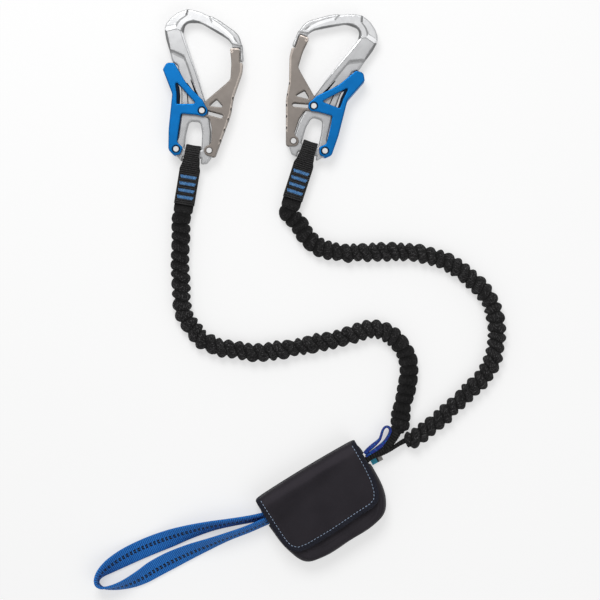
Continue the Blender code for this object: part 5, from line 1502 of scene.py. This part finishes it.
def gateParts():
    # two cheeks, joined by a web along the outer edge
    size, grip = gateSizes, gripSizes
    outline = roundedLoop(ofReach(gateOuter) + arcPoints(gatePivot, size["boss"], 250, 100) + ofReach(gateLow)
                          + arcPoints(camPlace, size["lobe"], 275, 139) + ofReach(gateHigh))
    holes = [roundedLoop(ofReach(gateWindow)), camSlot(), roundHole(gatePivot, size["rivetHole"])]
    # painted highlights on the outer stripe, the top edge and the nose pin; painted shade in the pin's hole
    # and round the pivot
    faces = [
        {"area": ofReach(gateHighlightStripe, reachMm), "tone": 1.75},
        {"area": [(24.0, 99.0), (34.4, 99.7), (35.0, 102.0), (24.0, 102.0)], "tone": 2.9},
        {"area": circleArea(gateNose["place"], gateNose["pin"]), "drop": 0.2, "tone": 2.9},
        {"area": circleArea(gateNose["place"], gateNose["pinHole"]), "tone": 0.7},
        {"area": circleArea(gatePivot * 1000, size["ringMm"]), "tone": 0.55},
    ]
    # each grip dimple: painted shade in its hollow and a painted glint above it
    for x, y in ofReach(gateGrips, reachMm):
        faces.append({"area": circleArea((x - grip["inset"], y), grip["hollow"]), "drop": 0.5, "slope": 0.4,
                      "tone": 0.25})
        faces.append({"area": circleArea((x - grip["glintInset"], y + grip["glintRise"]), grip["glint"]),
                      "tone": 2.5})
    cheek = platePart(outline, holes, size["inner"], size["outer"], size["edge"], faces)
    # the web's tone of 1.2 is painted light on the outer wall
    return [cheek, turnedOver(cheek), webPart(gateWeb, size["inner"], 1.2)]


leverSizes = {"inner": 0.0061, "outer": 0.0076, "edge": 0.0007, "boss": 0.0054, "pinHole": 0.0029,
              "ringMm": 4.1, "liningFrom": 0.0049, "liningTo": 0.0062, "liningEdge": 0.0002}
leverTop = [(-0.260, 0.560, 0.015), (-0.238, 0.610, 0.030), (-0.184, 0.614, 0.026), (-0.084, 0.475, 0.301),
            (0.040, 0.372, 0.045)]
leverLow = [
    (0.005, 0.267, 0.010), (-0.103, 0.266, 0.011), (-0.110, 0.140, 0.060), (-0.111, 0.065, 0.030),
    (-0.067, 0.033, 0.014), (-0.083, -0.020, 0.023), (-0.123, -0.029, 0.030), (-0.167, 0.006, 0.038),
    (-0.179, 0.149, 0.226), (-0.178, 0.397, 0.045)]
leverWindow = [(-0.166, 0.490, 0.008), (-0.146, 0.397, 0.045), (-0.139, 0.330, 0.008), (-0.006, 0.345, 0.008)]
leverWeb = [
    (-0.160, 0.010, 0.006), (-0.1775, 0.149, 0.150), (-0.1765, 0.396, 0.045), (-0.2585, 0.560, 0.012),
    (-0.2510, 0.584, 0.006), (-0.2480, 0.582, 0.004), (-0.2490, 0.566, 0.010), (-0.1680, 0.400, 0.045),
    (-0.1690, 0.150, 0.150), (-0.1500, 0.014, 0.006)]
# dark sheet of painted shade, standing in the window inside the web
leverShadeSheet = [
    (-0.160, 0.325, 0.004), (-0.1600, 0.400, 0.030), (-0.1780, 0.490, 0.008), (-0.1660, 0.500, 0.006),
    (-0.1400, 0.460, 0.020), (-0.1280, 0.400, 0.020), (-0.1240, 0.325, 0.004)]
# painted shade on the faces that catch less light: the outer edge's bend and the tip, in mm
leverEdge = [(-24.4, 52.6), (-24.4, 10.0), (-22.4, 10.0), (-22.4, 53.5), (-33.0, 74.2), (-34.8, 73.0)]
leverTip = [(-34, 84), (-23.0, 84), (-26.0, 79.0), (-31.0, 79.6), (-36, 78)]


def leverParts():
    # two cheeks, a web along the outer edge toned 0.95 with painted shade, and dark sheets of painted shade
    # seen in the window
    size = leverSizes
    pivots = (leverPivot, camPlace)
    outline = roundedLoop(ofReach(leverTop) + arcPoints(camPlace, size["boss"], 55, -80) + ofReach(leverLow))
    holes = [roundedLoop(ofReach(leverWindow)), *[roundHole(pivot, size["pinHole"]) for pivot in pivots]]
    # painted shade in a ring round each pin
    faces = [{"area": circleArea(pivot * 1000, size["ringMm"]), "drop": 0.25, "slope": 0.4, "tone": 0.30}
             for pivot in pivots]
    faces += [{"area": leverEdge, "tone": 0.86}, {"area": leverTip, "tone": 0.90}]
    cheek = platePart(outline, holes, size["inner"], size["outer"], size["edge"], faces)
    shadeSheet = platePart(roundedLoop(ofReach(leverShadeSheet)), [], size["liningFrom"], size["liningTo"],
                       size["liningEdge"], tone=0.05)
    return [cheek, turnedOver(cheek), webPart(leverWeb, size["inner"], 0.95), shadeSheet, turnedOver(shadeSheet)]


body, gate, lever = bodyParts(), gateParts(), leverParts()
for side in places:
    finePiece("carabinerBody_" + side, "carabiner_body_" + side, side, body, "satin_aluminium",
              "carabiner_" + side)
    finePiece("carabinerGate_" + side, "gate_" + side, side, gate, "gate_metal", "gate_" + side)
    finePiece("palmLever_" + side, "palm_lever_" + side, side, lever, "lever_blue", "lever_" + side)
print("carabiner bodies made,", len(body[0][0]), "points each")


# camera, looking straight down as in the photo

lookDown = {"middle": (0.0462, 0.0), "plane": 0.009, "width": 0.558, "lens": 100.0, "sensor": 36.0}
cameraData = bpy.data.cameras.new("camera")
cameraData.lens = lookDown["lens"]
cameraData.sensor_width = lookDown["sensor"]
camera = bpy.data.objects.new("camera", cameraData)
camera.location = (*lookDown["middle"],
                   lookDown["plane"] + lookDown["width"] * lookDown["lens"] / lookDown["sensor"])
bpy.context.scene.collection.objects.link(camera)
bpy.context.scene.camera = camera


# floor and light: seen by the camera and in the metal, the paper is lifted to white by its own glow

stage = {"floorHalf": 4.0, "paper": 0.8, "seenPaper": 0.50, "lifted": 0.53, "sky": 0.42,
         "aim": (0.046, 0.0, 0.0)}


def softLamp(name, place, size, power):
    # round area lamp turned to the object
    lampData = bpy.data.lights.new(name, "AREA")
    lampData.shape = "DISK"
    lampData.size = size
    lampData.energy = power
    lamp = bpy.data.objects.new(name, lampData)
    lamp.location = place
    lamp.rotation_euler = (Vector(stage["aim"]) - Vector(place)).to_track_quat("-Z", "Y").to_euler()
    bpy.context.scene.collection.objects.link(lamp)


floorMesh = bpy.data.meshes.new("floor")
half = stage["floorHalf"]
floorCorners = [(x * half, y * half, 0) for x, y in ((-1, -1), (1, -1), (1, 1), (-1, 1))]
floorMesh.from_pydata(floorCorners, [], [(0, 1, 2, 3)])
floor = bpy.data.objects.new("floor", floorMesh)
bpy.context.scene.collection.objects.link(floor)
paper, paperTree, paperShader = newMaterial("paleFloor", 0.9, specular=0.0)
rays = addNode(paperTree, "ShaderNodeLightPath")
mirrored = maths(paperTree, "MAXIMUM", rays.outputs["Is Glossy Ray"], rays.outputs["Is Transmission Ray"])
seen = maths(paperTree, "MAXIMUM", rays.outputs["Is Camera Ray"], mirrored)
paperTree.links.new(mixColour(paperTree, seen, grey(stage["paper"]), grey(stage["seenPaper"])),
                    paperShader.inputs["Base Color"])
paperShader.inputs["Emission Color"].default_value = (1, 1, 1, 1)
paperTree.links.new(times(paperTree, seen, stage["lifted"]), paperShader.inputs["Emission Strength"])
floorMesh.materials.append(paper)

world = bpy.data.worlds.new("studio")
bpy.context.scene.world = world
world.use_nodes = True
world.node_tree.nodes["Background"].inputs["Color"].default_value = (1, 1, 1, 1)
world.node_tree.nodes["Background"].inputs["Strength"].default_value = stage["sky"]

softLamp("keyLamp", (-0.25, 1.0, 1.35), 0.9, 13)
softLamp("fillLamp", (0.7, -0.8, 1.3), 1.2, 4)
print("stage and light set")

bpy.context.scene.view_settings.view_transform = "Standard"
